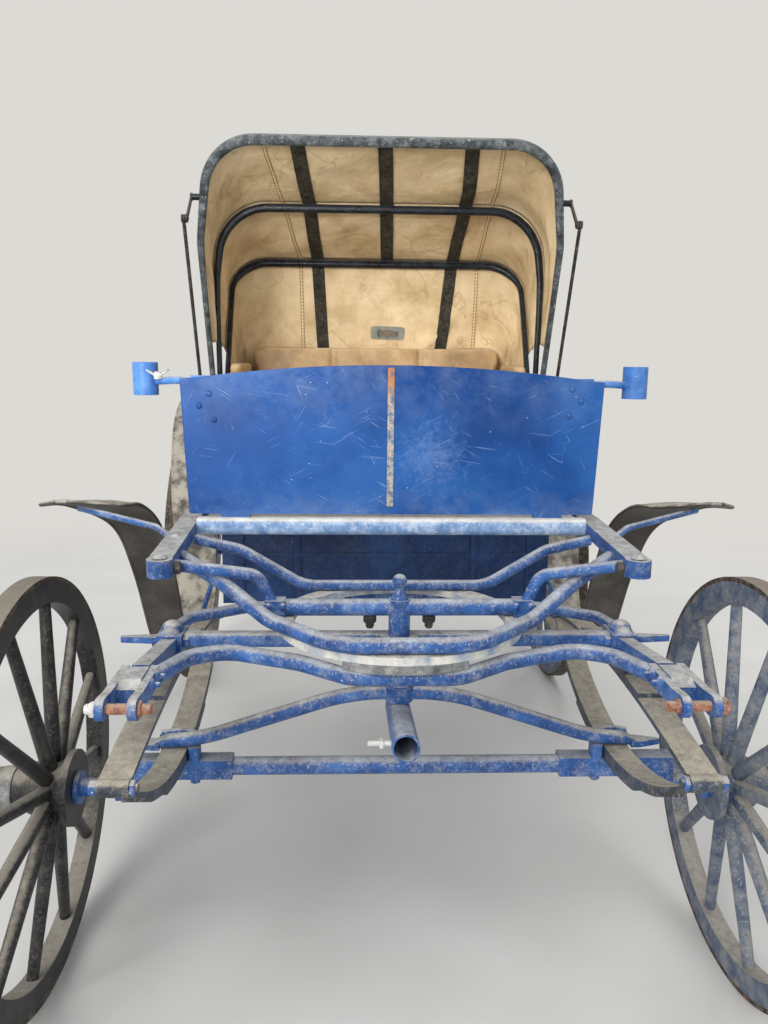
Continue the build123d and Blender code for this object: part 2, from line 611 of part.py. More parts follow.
def make_lamp_brackets():
    """Tube sockets for the lamps on bent bars bolted behind the dash's corners."""
    back = fy(DASH_Y) + DASH_THICK
    z = DASH_CORNER_Z - 10
    bar_y = back + 4 + BRACKET_D / 2
    plate = Pos(DASH_HALF_TOP - 52, back + 3, z - 14) * Box(70, 6, 60)
    bar = pipe([(DASH_HALF_TOP - 60, bar_y, z), (DASH_HALF_TOP + 10, bar_y, z + 6), (LAMP_X - 8, fy(LAMP_Y), z + 2)],
               [40], BRACKET_D)
    middle = Pos(LAMP_X, fy(LAMP_Y), LAMP_TOP_Z - LAMP_TALL / 2)
    tube = middle * (Cylinder(LAMP_R, LAMP_TALL) - Cylinder(LAMP_R - LAMP_WALL, LAMP_TALL))
    bracket = plate + (bar - middle * Cylinder(LAMP_R - 1, LAMP_TALL)) + tube
    parts["lamp_brackets"] = Compound(children=mirrored(bracket))


def make_body():
    """Foot well, floor, side panels and seat box, each as thick as a real panel."""
    t = PANEL_THICK
    y0, y1, y2 = fy(WELL_Y), fy(SEAT_FRONT_Y), fy(SEAT_REAR_Y)
    board_low = BOARD_TOP_Z - 18
    parts["well_panel"] = Pos(0, y0 + t / 2, (FLOOR_Z + board_low) / 2) * Box(
        2 * (WELL_HALF - t), t, board_low - FLOOR_Z)
    parts["floor"] = Pos(0, (y0 + t + y1) / 2, FLOOR_Z + t / 2) * Box(2 * (WELL_HALF - t), y1 - y0 - t, t)
    side = [
        (y0, FLOOR_Z), (y0, board_low), (y0 + 60, board_low), (y0 + 150, SILL_Z + 20),
        ((y0 + y1) / 2 - 30, SILL_Z), (y1 - 60, SILL_Z), (y1, SEAT_UNDER_Z), (y1, FLOOR_Z),
    ]
    parts["well_sides"] = Compound(children=mirrored(side_plate(side, WELL_HALF - t, t)))
    box = Pos(0, (y1 + y2) / 2, (SEAT_UNDER_Z + SEAT_BOARD_Z) / 2) * Box(
        2 * SEAT_HALF, y2 - y1, SEAT_BOARD_Z - SEAT_UNDER_Z)
    box -= Pos(0, (y1 + y2) / 2, (SEAT_UNDER_Z + SEAT_BOARD_Z) / 2) * Box(
        2 * (SEAT_HALF - t), y2 - y1 - 2 * t, SEAT_BOARD_Z - SEAT_UNDER_Z - 2 * t)
    box += Pos(0, y1 + t / 2, (FLOOR_Z + SEAT_UNDER_Z) / 2) * Box(2 * WELL_HALF, t, SEAT_UNDER_Z - FLOOR_Z)
    parts["seat_box"] = box
    arm = [
        (fy(ARM_FRONT_Y - 80), SEAT_BOARD_Z), (fy(ARM_FRONT_Y - 60), SEAT_BOARD_Z + 60),
        (fy(ARM_FRONT_Y), ARM_TOP_Z - 60), (fy(ARM_FRONT_Y + 40), ARM_TOP_Z), (y2, ARM_TOP_Z), (y2, SEAT_BOARD_Z),
    ]
    arms = side_plate(arm, SEAT_HALF - t, t)
    # The hood's pivot pins and the feet of its stays stand out from the arms.
    hood_y, foot_y = fy(HOOD_PIVOT_Y), fy(HOOD_PIVOT_Y + STAY_SHIFT_Y)
    foot_z = HOOD_PIVOT_Z + STAY_SHIFT_Z
    for y, z, radius, x_to in (
        (hood_y, HOOD_PIVOT_Z, 16, BOW_X[2] - BOW_THICK / 2 - 1),
        (hood_y, HOOD_PIVOT_Z, HOOD_PIN_R, BOW_X[0] + BOW_THICK / 2 + 4),
        (foot_y, foot_z, STAY_STUB_R, STAY_ROD_X - STAY_ROD_D / 2 - 1.1),
        (foot_y, foot_z, STAY_PIN_R, STAY_ROD_X + STAY_ROD_D / 2 + 4),
    ):
        arms += cylinder_between((SEAT_HALF - 1, y, z), (x_to, y, z), radius)
    parts["seat_arms"] = Compound(children=mirrored(arms))
    parts["seat_back"] = Pos(0, y2 - t / 2, (SEAT_BOARD_Z + BACK_TOP_Z) / 2) * Box(
        2 * (SEAT_HALF - t), t, BACK_TOP_Z - SEAT_BOARD_Z)


def make_cushions():
    """Plain closed solids of the seat cushion, the back cushion and the arm pads."""
    t = PANEL_THICK
    half = SEAT_HALF - t - SOFT_GAP
    front = fy(SEAT_FRONT_Y + 30)
    back_face = fy(SEAT_REAR_Y) - t - SOFT_GAP
    seat_to = back_face - BACK_CUSHION_THICK - SOFT_GAP
    low = SEAT_BOARD_Z + SOFT_GAP
    seat = Pos(0, (front + seat_to) / 2, low + CUSHION_TALL / 2) * Box(2 * half, seat_to - front, CUSHION_TALL)
    parts["seat_cushion"] = fillet(seat.edges(), 18)
    outline = [
        (back_face - BACK_CUSHION_THICK, low), (back_face, low), (back_face, BACK_TOP_Z - 40),
        (back_face - CUSHION_LEAN, BACK_CUSHION_TOP_Z), (back_face - BACK_CUSHION_THICK + 12, BACK_CUSHION_TOP_Z),
    ]
    parts["back_cushion"] = side_plate(outline, -half, 2 * half)
    pad_from, pad_to = fy(ARM_FRONT_Y + 50), fy(SEAT_REAR_Y) - BACK_CUSHION_THICK - t - 8
    pad = Pos(SEAT_HALF - ARM_PAD_WIDE / 2, (pad_from + pad_to) / 2, ARM_TOP_Z + SOFT_GAP + ARM_PAD_TALL / 2) * Box(
        ARM_PAD_WIDE, pad_to - pad_from, ARM_PAD_TALL)
    parts["arm_pads"] = Compound(children=mirrored(fillet(pad.edges().filter_by(Axis.Y), 12)))


# Wings: one leather-covered sheet on each side, from over the front wheel, down behind it
# to the step and up over the rear wheel.
# Wing stations: place behind the front axle, height, inner edge, outer edge.
def wing_stations():
    """Stations along a wing, with the stretch over the rear wheel set out on a circle."""
    arc_r = REAR_WHEEL_R + WING_TOP_GAP
    rows = [
        (228, 878, 628, 690), (300, 858, 570, 732), (420, 836, 552, 712), (520, 770, 536, 646),
        (572, 650, 520, 616), (628, 478, 508, 596), (WING_STEP_FROM, WING_STEP_Z, WING_STEP_IN, WING_STEP_OUT),
        (WING_STEP_TO, WING_STEP_Z, WING_STEP_IN - 2, WING_STEP_OUT + 4),
    ]
    # Angles over the rear wheel, from its front to its rear, with both edges.
    for angle, inner, outer in (
        (8, 498, 612), (32, 520, 636), (60, 545, 664), (92, 566, 690), (122, 576, 700), (145, 580, 700),
    ):
        a = radians(angle)
        rows.append((WHEELBASE - arc_r * cos(a), REAR_WHEEL_R + arc_r * sin(a), inner, outer))
    return rows


def make_wings():
    """The wing sheet, cut to its plan outline."""
    rows = wing_stations()
    path = [(fy(y), z) for y, z, _, _ in rows]
    radii = []
    for i in range(1, len(path) - 1):
        run = min(hypot(path[i][0] - path[i - 1][0], path[i][1] - path[i - 1][1]),
                  hypot(path[i + 1][0] - path[i][0], path[i + 1][1] - path[i][1]))
        turn = atan2(path[i + 1][1] - path[i][1], path[i + 1][0] - path[i][0]) - atan2(
            path[i][1] - path[i - 1][1], path[i][0] - path[i - 1][0])
        radii.append(min(0.42 * run / max(abs(tan(turn / 2)), 0.02), 900))
    line = FilletPolyline(*[(0, y, z) for y, z in path], radius=radii)
    profile = Plane(origin=line @ 0, x_dir=(1, 0, 0), z_dir=line % 0) * Rectangle(3 * TRACK_HALF, WING_THICK)
    sheet = sweep(profile, path=line)
    plan = [(x, fy(y)) for y, _, x, _ in rows] + [(x, fy(y)) for y, _, _, x in reversed(rows)]
    cutter = extrude(make_face(Polyline(*[(x, y, 0) for x, y in plan], close=True)), 2000, dir=(0, 0, 1))
    wing = sheet & cutter
    parts["wings"] = Compound(children=mirrored(wing))
    return wing


def make_wing_stays():
    """Round stays that carry the wings from the side irons, the floor and the seat box."""
    d = WING_STAY_D
    rows = wing_stations()
    top, step, over, tail = rows[1], rows[6], rows[10], rows[12]
    step_z = step[1] - WING_THICK / 2 - d / 2
    step_y = (WING_STEP_FROM + WING_STEP_TO) / 2
    front = pipe([(IRON_X_REAR + IRON_WIDTH / 2 - 6, fy(BOARD_FRONT_Y - 90), IRON_TOP_Z - 12),
                  (IRON_X_REAR + 46, fy(BOARD_FRONT_Y - 66), IRON_TOP_Z + 2),
                  (top[3] - 84, fy(top[0] - 8), top[1] - d / 2)], [30], d)
    low = pipe([(WELL_HALF - 4, fy(step_y), FLOOR_Z + 10), (WELL_HALF + 73, fy(step_y), FLOOR_Z - 20),
                (WING_STEP_IN + 20, fy(step_y), step_z + 2), (WING_STEP_OUT - 10, fy(step_y), step_z + 2)],
               [36, 20], d)
    rear = pipe([(SEAT_HALF - 4, fy(over[0]), SEAT_UNDER_Z + 60), (SEAT_HALF + WING_STAY_OUT, fy(over[0]), SEAT_UNDER_Z + 70),
                 (over[2] + 30, fy(over[0]) + 8, over[1])], [30], d)
    last = pipe([(SEAT_HALF - 14, fy(SEAT_REAR_Y) - 26, SEAT_BOARD_Z - 30),
                 (SEAT_HALF + WING_STAY_OUT, fy(SEAT_REAR_Y) + 20, SEAT_BOARD_Z - 10),
                 (tail[2] + 30, fy(tail[0]), tail[1])], [40], d)
    neighbours = (parts["side_irons"], parts["well_sides"], parts["seat_box"], parts["wings"])
    stays = []
    for bar in (front, low, rear, last):
        for stay in mirrored(bar):
            for body in neighbours:
                stay = stay - body
            # What is left beyond the wing or inside the seat box is dropped.
            stays.append(stay.solids().sort_by(SortBy.VOLUME)[-1])
    parts["wing_stays"] = Compound(children=stays)


def make_rear_bed():
    """Blocks between the rear springs and the seat box, with a cross bar."""
    low, high = REAR_LEAF_TOP, SEAT_UNDER_Z
    y = REAR_AXLE_Y
    bed = Pos(0, y, (low + high) / 2) * Box(2 * SPRING_X, 30, high - low)
    for side in (-1, 1):
        bed += Pos(side * SPRING_X, y, (low + high) / 2) * Box(SPRING_WIDTH, 90, high - low)
    parts["rear_bed"] = bed


# Hood: three bows on one pivot line, and leather stretched between them.
# Bow: angle from upright (backwards is positive), reach from the pivot to its top, half
# width at the pivot, corner radius.
BOW_X = (SEAT_HALF + 54.0, SEAT_HALF + 54.0 - BOW_STEP, SEAT_HALF + 52.0 - 2 * BOW_STEP)
BOWS = (
    ("front_bow", -23.35, 744.0, BOW_X[0], BOW_X[0] - 44, 150.0),
    ("middle_bow", -3.0, 552.0, BOW_X[1], BOW_X[1] - 24, 156.0),
    ("rear_bow", 29.3, 478.0, BOW_X[2] + 2, BOW_X[2], 118.0),
)


def hood_plane(angle):
    """The plane of a bow: its x runs across, its y from the pivot to the bow's top."""
    a = radians(angle)
    return Plane(origin=(0, fy(HOOD_PIVOT_Y), HOOD_PIVOT_Z), x_dir=(1, 0, 0), z_dir=(0, -cos(a), sin(a)))


def arch(foot, half_leg, half_top, reach, corner, out):
    """An arch outline set outwards by out: upright legs, leaning shoulders and a round-cornered top."""
    knee = HOOD_KNEE * (reach - out)
    x_leg, x_top, y_top = half_leg + out, half_top + out, reach
    shape = make_face(Polyline(
        (-x_leg, foot), (-x_leg, knee), (-x_top, y_top), (x_top, y_top), (x_leg, knee), (x_leg, foot), close=True))
    rows = shape.vertices().group_by(Axis.Y)
    shape = fillet(rows[-1], corner + out)
    return fillet(shape.vertices().filter_by(lambda v: abs(v.Y - knee) < 0.5), 240)


def u_shape(foot, row, inside, outside):
    """The face between two arches of one bow, both set outwards from its middle line."""
    half_leg, half_top, reach, corner = row
    outer = arch(foot, half_leg, half_top, reach + outside, corner, outside)
    inner = arch(foot - 40, half_leg, half_top, reach + inside, corner, inside)
    return outer - inner


def bow(angle, reach, half_leg, half_top, corner):
    """A bent bow with round edges, its legs down to the pivot pin."""
    half = BOW_THICK / 2
    plane = hood_plane(angle)
    body = extrude(plane * u_shape(0, (half_leg, half_top, reach, corner), -half, half), BOW_DEEP / 2, both=True)
    faces = body.faces().filter_by(lambda f: abs(f.normal_at().dot(plane.z_dir)) > 0.99)
    body = fillet(faces.edges().filter_by(lambda e: e.length > BOW_THICK + 1), BOW_ROUND)
    y, z = fy(HOOD_PIVOT_Y), HOOD_PIVOT_Z
    for side in (-1, 1):
        inner, outer = side * (half_leg - half), side * (half_leg + half)
        body += cylinder_between((inner, y, z), (outer, y, z), BOW_DEEP / 2 + 4)
        body -= cylinder_between((inner - 2 * side, y, z), (outer + 2 * side, y, z), HOOD_PIN_R + RUNNING_GAP)
    return body


def make_hood():
    """Bows, side stays and the three stretches of leather."""
    for name, angle, reach, leg, top, corner in BOWS:
        parts[name] = bow(angle, reach, leg, top, corner)
    lean = radians(BOWS[0][1])
    y0, z0 = fy(HOOD_PIVOT_Y), HOOD_PIVOT_Z
    pin_y, pin_z = y0 + STAY_TOP_ON_BOW * sin(lean), z0 + STAY_TOP_ON_BOW * cos(lean)
    foot_y, foot_z = y0 + STAY_SHIFT_Y, z0 + STAY_SHIFT_Z
    head_y, head_z = pin_y + STAY_SHIFT_Y, pin_z + STAY_SHIFT_Z
    knee = HOOD_KNEE * BOWS[0][2]
    share = (STAY_TOP_ON_BOW - knee) / (BOWS[0][2] - knee)
    leg_x = BOWS[0][3] + (BOWS[0][4] - BOWS[0][3]) * share + BOW_THICK / 2 - 4
    rod_in = STAY_ROD_X - STAY_ROD_D / 2
    link_out = rod_in - 1.2
    link_in = link_out - STAY_LINK_THICK
    bow_body = parts["front_bow"]
    rods, links = [], []
    for side in (-1, 1):
        bow_body += cylinder_between((side * leg_x, pin_y, pin_z), (side * (link_in - 1.2), pin_y, pin_z), STAY_STUB_R)
        bow_body += cylinder_between((side * leg_x, pin_y, pin_z), (side * (link_out + 0.6), pin_y, pin_z), STAY_PIN_R)
        # Both arms of a stay move with the bow as a parallel linkage.
        rod = cylinder_between((side * STAY_ROD_X, foot_y, foot_z), (side * STAY_ROD_X, head_y, head_z), STAY_ROD_D / 2)
        for y, z in ((foot_y, foot_z), (head_y, head_z)):
            rod += cylinder_between((side * (rod_in - 0.2), y, z), (side * (rod_in + STAY_ROD_D + 0.2), y, z), 11)
        rod -= cylinder_between((side * (rod_in - 9), foot_y, foot_z), (side * (rod_in + 20), foot_y, foot_z),
                                STAY_PIN_R + RUNNING_GAP)
        rod += cylinder_between((side * (link_in - 3), head_y, head_z), (side * STAY_ROD_X, head_y, head_z), STAY_PIN_R)
        rods.append(rod)
        link = None
        for y, z in ((pin_y, pin_z), (head_y, head_z)):
            eye = cylinder_between((side * link_in, y, z), (side * link_out, y, z), 11)
            link = eye if link is None else link + eye
        run = hypot(STAY_SHIFT_Y, STAY_SHIFT_Z)
        across = (6 * STAY_SHIFT_Z / run, -6 * STAY_SHIFT_Y / run)
        strip = [
            (pin_y + across[0], pin_z + across[1]), (head_y + across[0], head_z + across[1]),
            (head_y - across[0], head_z - across[1]), (pin_y - across[0], pin_z - across[1]),
        ]
        link += side_plate(strip, link_in if side > 0 else -link_out, STAY_LINK_THICK)
        for y, z in ((pin_y, pin_z), (head_y, head_z)):
            link -= cylinder_between((side * (link_in - 9), y, z), (side * (link_out + 9), y, z), STAY_PIN_R + RUNNING_GAP)
        links.append(link)
    parts["front_bow"] = bow_body
    parts["hood_stay_rods"] = Compound(children=rods)
    parts["hood_stay_links"] = Compound(children=links)
    # The leather's edges: bow, its plane set back, and how far it lies outside the bow.
    out = BOW_THICK / 2 + LEATHER_GAP
    rail_reach = (SEAT_REAR_Y + 8 - HOOD_PIVOT_Y) / sin(radians(BACK_RAIL_ANGLE)) - out
    edges = (
        (BOWS[0][1], (BOWS[0][3], BOWS[0][4], BOWS[0][2], BOWS[0][5]), BOW_DEEP / 2 + 0.4, BOW_THICK / 2 - LEATHER),
        (BOWS[1][1], (BOWS[1][3], BOWS[1][4], BOWS[1][2], BOWS[1][5]), 0.0, out),
        (BOWS[2][1], (BOWS[2][3], BOWS[2][4], BOWS[2][2], BOWS[2][5]), 0.0, out),
        (BACK_RAIL_ANGLE, (SEAT_HALF + 16 - out, SEAT_HALF + 10 - out, rail_reach, 6.0), 0.0, out),
    )
    bands = []
    for angle, row, back, inside in edges:
        a = radians(angle)
        band = hood_plane(angle) * u_shape(LEATHER_START, row, inside, inside + LEATHER)
        bands.append(Pos(0, back * cos(a), -back * sin(a)) * band)
    names = ("hood_front_leather", "hood_middle_leather", "hood_back_leather")
    for name, first, second in zip(names, bands, bands[1:]):
        parts[name] = loft([first.face(), second.face()], ruled=True)


def main():
    make_wheels()
    make_axle("front_axle", FRONT_AXLE_Y, FRONT_WHEEL_R, AXLE_BED_Z)
    make_axle("rear_axle", REAR_AXLE_Y, REAR_WHEEL_R, REAR_WHEEL_R)
    make_springs()
    make_bed()
    make_forks()
    make_lower_pipes()
    make_stay_bar()
    make_pole_socket()
    make_side_irons()
    make_ring()
    make_transom()
    make_upper_pipes()
    make_king_pin()
    make_footboard()
    make_dash()
    make_lamp_brackets()
    make_body()
    make_cushions()
    make_wings()
    make_wing_stays()
    make_rear_bed()
    make_hood()
    os.makedirs("parts", exist_ok=True)
    for name, shape in parts.items():
        export_step(shape, "parts/" + name + ".step")


main()
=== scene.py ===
from math import cos, pi, radians, sin
import bmesh
import bpy
import numpy as np
from mathutils import Matrix, Vector


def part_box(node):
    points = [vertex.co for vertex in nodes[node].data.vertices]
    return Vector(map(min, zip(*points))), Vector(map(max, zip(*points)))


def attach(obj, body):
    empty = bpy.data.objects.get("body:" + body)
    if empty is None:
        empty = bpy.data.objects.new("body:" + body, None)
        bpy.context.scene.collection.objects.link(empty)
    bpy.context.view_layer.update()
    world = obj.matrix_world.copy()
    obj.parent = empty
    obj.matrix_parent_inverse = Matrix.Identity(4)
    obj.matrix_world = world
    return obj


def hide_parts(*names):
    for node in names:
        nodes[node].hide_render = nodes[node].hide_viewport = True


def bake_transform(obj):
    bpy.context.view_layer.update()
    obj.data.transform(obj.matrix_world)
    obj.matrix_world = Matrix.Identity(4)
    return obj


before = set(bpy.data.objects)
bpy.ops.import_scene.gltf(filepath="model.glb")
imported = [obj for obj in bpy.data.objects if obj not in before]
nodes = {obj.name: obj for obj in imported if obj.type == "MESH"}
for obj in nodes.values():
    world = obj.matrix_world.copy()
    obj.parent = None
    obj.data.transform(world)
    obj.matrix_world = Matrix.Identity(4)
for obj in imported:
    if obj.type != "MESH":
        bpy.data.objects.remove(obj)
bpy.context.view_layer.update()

# Places and sizes in metres, in the frame of the solids: X across, Y from front to rear, Z up.
FRONT_AXLE_Y = -0.830
FRONT_AXLE_Z = 0.425        # middle of the front axle's bed
REAR_AXLE_Y = 0.770
FRONT_R = 0.385             # radii of the wheels over their tyres
REAR_R = 0.460
RIM_X = 0.655               # middle of the rims
KING_Y = -0.850             # the king pin
SPRING_X = 0.402            # middle of the springs
FRONT_SEAT_Z = 0.467        # top of the lower leaves over the front axle
REAR_SEAT_Z = REAR_R + 0.0422       # and over the rear axle
STAY_BAR_TOP = 0.600
DASH_FACE_Y = -0.562
HOOD_Y = 0.450              # the bows' pivot line
HOOD_Z = 1.060
LEATHER_OUT = 0.0139        # from a bow's middle line to the lining over it
KNEE = 0.62                 # share of a bow's reach at which its legs begin to lean

# The bows: angle from upright, half width at the leg, half width at the top, reach, corner radius.
BOWS = (
    (-23.35, 0.524, 0.480, 0.744, 0.150),
    (-3.0, 0.504, 0.480, 0.552, 0.156),
    (29.3, 0.484, 0.482, 0.478, 0.118),
)


def place_camera():
    """The photograph's eye: 1.165 m above the floor, 1.44 m in front of the front axle, turned 2.2 degrees to
    the right, looking 10.5 degrees down and rolled 0.6 degrees; a lens of 840 pixels on 1024."""
    place = (-0.084, FRONT_AXLE_Y - 1.44, 1.165)
    turn, dip, roll = radians(2.22), radians(10.45), radians(0.6)
    ahead = Vector((sin(turn) * cos(dip), cos(turn) * cos(dip), -sin(dip)))
    level = Vector((cos(turn), -sin(turn), 0))
    over = level.cross(ahead)
    right = level * cos(roll) + over * sin(roll)
    up = over * cos(roll) - level * sin(roll)
    data = bpy.data.cameras.new("camera")
    data.sensor_fit = "VERTICAL"
    data.sensor_height = 36.0
    data.lens = 29.53
    data.clip_end = 200
    eye = bpy.data.objects.new("camera", data)
    spin = Matrix((right, up, -ahead)).transposed().to_4x4()
    eye.matrix_world = Matrix.Translation(place) @ spin
    bpy.context.scene.collection.objects.link(eye)
    bpy.context.scene.camera = eye


place_camera()


# Colour and materials
def linear(text):
    """The linear colour of an sRGB hex value."""
    c = np.array([int(text[i:i + 2], 16) for i in (1, 3, 5)]) / 255
    c = np.where(c <= 0.04045, c / 12.92, ((c + 0.055) / 1.055) ** 2.4)
    return (*c.tolist(), 1.0)


def add(tree, kind, into=(), stops=(), **settings):
    """Adds a node with its settings, its ramp's stops, and a value or a feeding node for each input."""
    node = tree.nodes.new("ShaderNode" + kind)
    for key, value in settings.items():
        setattr(node, key, value)
    for i, (at, shade) in enumerate(stops):
        stop = node.color_ramp.elements[i] if i < 2 else node.color_ramp.elements.new(at)
        stop.position = at
        stop.color = linear(shade) if isinstance(shade, str) else (shade, shade, shade, 1)
    for key, value in dict(into).items():
        named = isinstance(key, str)
        socket = next(s for s in node.inputs if s.enabled and s.name == key) if named else node.inputs[key]
        if isinstance(value, bpy.types.Node):
            value = next(s for s in value.outputs if s.enabled)
        if isinstance(value, bpy.types.NodeSocket):
            tree.links.new(value, socket)
        else:
            socket.default_value = value
    return node


def material(name):
    """A new node material, with its tree and its shader."""
    made = bpy.data.materials.new(name)
    made.use_nodes = True
    tree = made.node_tree
    shader = next(n for n in tree.nodes if n.type == "BSDF_PRINCIPLED")
    return made, tree, shader


def finish_shader(tree, shader, colour, rough, height, depth, strength=0.6):
    """Colour, roughness and relief (in metres) into a shader."""
    tree.links.new(colour.outputs[2 if colour.type == "MIX" else 0], shader.inputs["Base Color"])
    tree.links.new(rough.outputs[0], shader.inputs["Roughness"])
    bump = add(tree, "Bump", {"Strength": strength, "Distance": depth, "Height": height})
    tree.links.new(bump.outputs[0], shader.inputs["Normal"])


def dusty_coat(name, shades, dust, cover, haze, chip, gloss, under="#6b3d22", rust="#a9653c", specks=0.7,
               spot=0.018, across=0.07, dirt="#7d786d"):
    """A coat on iron, wood or leather that has stood for years: three shades in clouds, and dust, mixed with
    dirt, that lies where the face looks up, as high as its upward share plus a cloud of noise. Haze is a thin
    film all over with crumbs of grit 5 mm apart, and specks are drops of lime. Small chips show what is under
    the coat, and its rust. Sizes are in metres: spot is a chip's width, across a cloud's."""
    made, tree, shader = material(name)
    where = add(tree, "TexCoord")
    at = where.outputs["Object"]
    tone = add(tree, "TexNoise", {"Vector": at, "Scale": 1 / across, "Detail": 7.0, "Roughness": 0.68})
    paint = add(tree, "ValToRGB", {"Fac": tone}, stops=tuple(zip((0.36, 0.5, 0.64), shades)))
    facing = add(tree, "SeparateXYZ", {"Vector": where.outputs["Normal"]})
    up = add(tree, "MapRange", {"Value": facing.outputs["Z"], "From Min": 0.0, "From Max": 1.0})
    cloud = add(tree, "TexNoise", {"Vector": at, "Scale": 1 / 0.024, "Detail": 12.0, "Roughness": 0.86})
    heap = add(tree, "Math", {0: up, 1: cloud}, operation="ADD")
    lying = add(tree, "MapRange", {"Value": heap, "From Min": 1.0, "From Max": 1.28, "To Max": cover})
    film = add(tree, "TexNoise", {"Vector": at, "Scale": 1 / 0.03, "Detail": 14.0, "Roughness": 0.92})
    thin = add(tree, "MapRange", {"Value": film, "From Min": 0.5, "From Max": 0.6, "To Max": haze})
    grain = add(tree, "TexNoise", {"Vector": at, "Scale": 1 / 0.0055, "Detail": 3.0, "Roughness": 0.7})
    sand = add(tree, "Math", {0: up, 1: 0.12, 2: grain}, operation="MULTIPLY_ADD")
    crumbs = add(tree, "MapRange", {"Value": sand, "From Min": 0.6, "From Max": 0.66, "To Max": haze * 1.5})
    coat = add(tree, "Math", {0: lying, 1: thin}, operation="MAXIMUM")
    soil = add(tree, "Math", {0: coat, 1: crumbs}, operation="MAXIMUM")
    drops = add(tree, "TexVoronoi", {"Vector": at, "Scale": 1 / 0.02, "Randomness": 1.0})
    size = add(tree, "Math", {0: cloud, 1: 0.36, 2: -0.115}, operation="MULTIPLY_ADD")
    near = add(tree, "Math", {0: size, 1: drops}, operation="SUBTRACT")
    lime = add(tree, "MapRange", {"Value": near, "From Min": 0.0, "From Max": 0.03, "To Max": specks})
    flake = add(tree, "TexNoise", {"Vector": at, "Scale": 1 / spot, "Detail": 6.0, "Roughness": 0.6})
    bare = add(tree, "MapRange", {"Value": flake, "From Min": chip, "From Max": chip + 0.025})
    metal = add(tree, "ValToRGB", {"Fac": cloud}, stops=((0.4, under), (0.62, rust)))
    worn = add(tree, "Mix", {"Factor": bare, "A": paint, "B": metal}, data_type="RGBA")
    grit = add(tree, "ValToRGB", {"Fac": film}, stops=((0.4, dirt), (0.56, dust)))
    soiled = add(tree, "Mix", {"Factor": soil, "A": worn, "B": grit}, data_type="RGBA")
    colour = add(tree, "Mix", {"Factor": lime, "A": soiled, "B": linear("#d9d8d3")}, data_type="RGBA")
    rough = add(tree, "MapRange", {"Value": soil, "From Max": 0.5, "To Min": gloss, "To Max": 0.9})
    dent = add(tree, "Math", {0: bare, 1: -0.5, 2: cloud}, operation="MULTIPLY_ADD")
    finish_shader(tree, shader, colour, rough, dent, 0.0014)
    shader.inputs["Specular IOR Level"].default_value = 0.3
    return made


# Ultramarine enamel, brushed on pipes and flat bars: a strong blue, dull where dust has settled.
BLUE = ("#173a70", "#214c88", "#3464a4")
pipe_blue = dusty_coat("ultramarine_enamel_on_pipe", BLUE, "#bfc1c1", 0.8, 0.42, 0.7, 0.36)
# The footboard, trodden and floured over: pale dust on top, chalky blue below.
rail_blue = dusty_coat("trodden_enamel_on_footboard", ("#5f82ad", "#7f9cc2", "#a3b7d1"), "#e4e1d9", 1.0, 0.46,
                       0.68, 0.5, across=0.03, dirt="#bcb8ae")
bar_blue = dusty_coat("ultramarine_enamel_on_flat_bar", BLUE, "#c4c1b8", 0.88, 0.36, 0.68, 0.4,
                      under="#7a3f1f")
# The same enamel on the turntable, rubbed through to a cream undercoat and floured with dust.
ring_cream = dusty_coat("rubbed_enamel_over_cream_undercoat", ("#5f7ba6", "#a9adad", "#d3cfc4"), "#d2cdc0",
                        1.0, 0.6, 0.66, 0.5, under="#8d7f6a", rust="#b39f80", across=0.05)
# Enamel on the boards in the body's shade: navy, its darkness painted shade, little dust.
well_blue_painted_shade = dusty_coat("ultramarine_enamel_on_boards_in_painted_shade", ("#0d264c", "#133260", "#1d4274"), "#8d99a8", 0.6,
                       0.12, 0.74, 0.34, specks=0.4, across=0.16)
# Enamel on the lamp tubes: lighter and cleaner than on the bars.
lamp_blue = dusty_coat("ultramarine_enamel_on_tube", ("#2f62a8", "#4077bd", "#5288c9"), "#c3c5c6", 0.6, 0.16,
                       0.74, 0.3)
# Spring steel once painted: brown dust packed on the flat leaves, blue and dark steel at their edges.
leaf_steel = dusty_coat("painted_spring_steel", ("#23262c", "#2f3844", "#3c4a60"), "#b4ab98", 0.95, 0.42,
                        0.62, 0.5, under="#3d3128", rust="#6d5340", specks=0.3)
# Ash wood on the left wheels: paint drawn near black as painted shade, dried out and greyed by dust and
# handling.
left_wheel_painted_shade = dusty_coat("paint_on_ash_in_painted_shade", ("#131417", "#1f2023", "#333231"), "#968f83", 0.95, 0.24,
                         0.68, 0.4, under="#3d352e", rust="#574c40", specks=0.12, spot=0.03, across=0.05)
# Ash wood, blue paint: grey-blue under a thick film of dust.
wheel_blue = dusty_coat("blue_paint_on_ash", ("#354564", "#576273", "#7e8186"), "#a09b92", 1.0, 0.62, 0.64,
                        0.6, under="#57493c", rust="#85786a", spot=0.02, across=0.04)
# Rolled iron tyre: dark brown mill scale and dull rust.
tyre_iron = dusty_coat("rusted_tyre_iron", ("#2a2420", "#3c322b", "#554a40"), "#8f8475", 0.85, 0.6, 0.62, 0.7,
                       under="#5a4032", rust="#7a5540", specks=0.2, across=0.03)
# Forged iron under dust: a flat warm grey.
grey_iron = dusty_coat("bare_forged_iron", ("#4d4f50", "#6f7272", "#8c8f8e"), "#a9a599", 0.9, 0.5, 0.68, 0.55,
                       rust="#7d6a58", across=0.03)
# Screw ends under the body, out of the light: iron drawn dark as painted shade.
dark_iron_painted_shade = dusty_coat("screw_iron_in_painted_shade", ("#1b1b1d", "#2c2b2a", "#413d39"), "#77706a", 0.4, 0.3, 0.7, 0.5,
                       rust="#5b4838", specks=0.2, across=0.03)
# Rusted bolts: orange brown with dark pits.
rust_orange = dusty_coat("rusted_mild_steel", ("#6b4130", "#96624b", "#b98468"), "#c4b39f", 0.5, 0.4, 0.72,
                         0.75, across=0.012, spot=0.006)
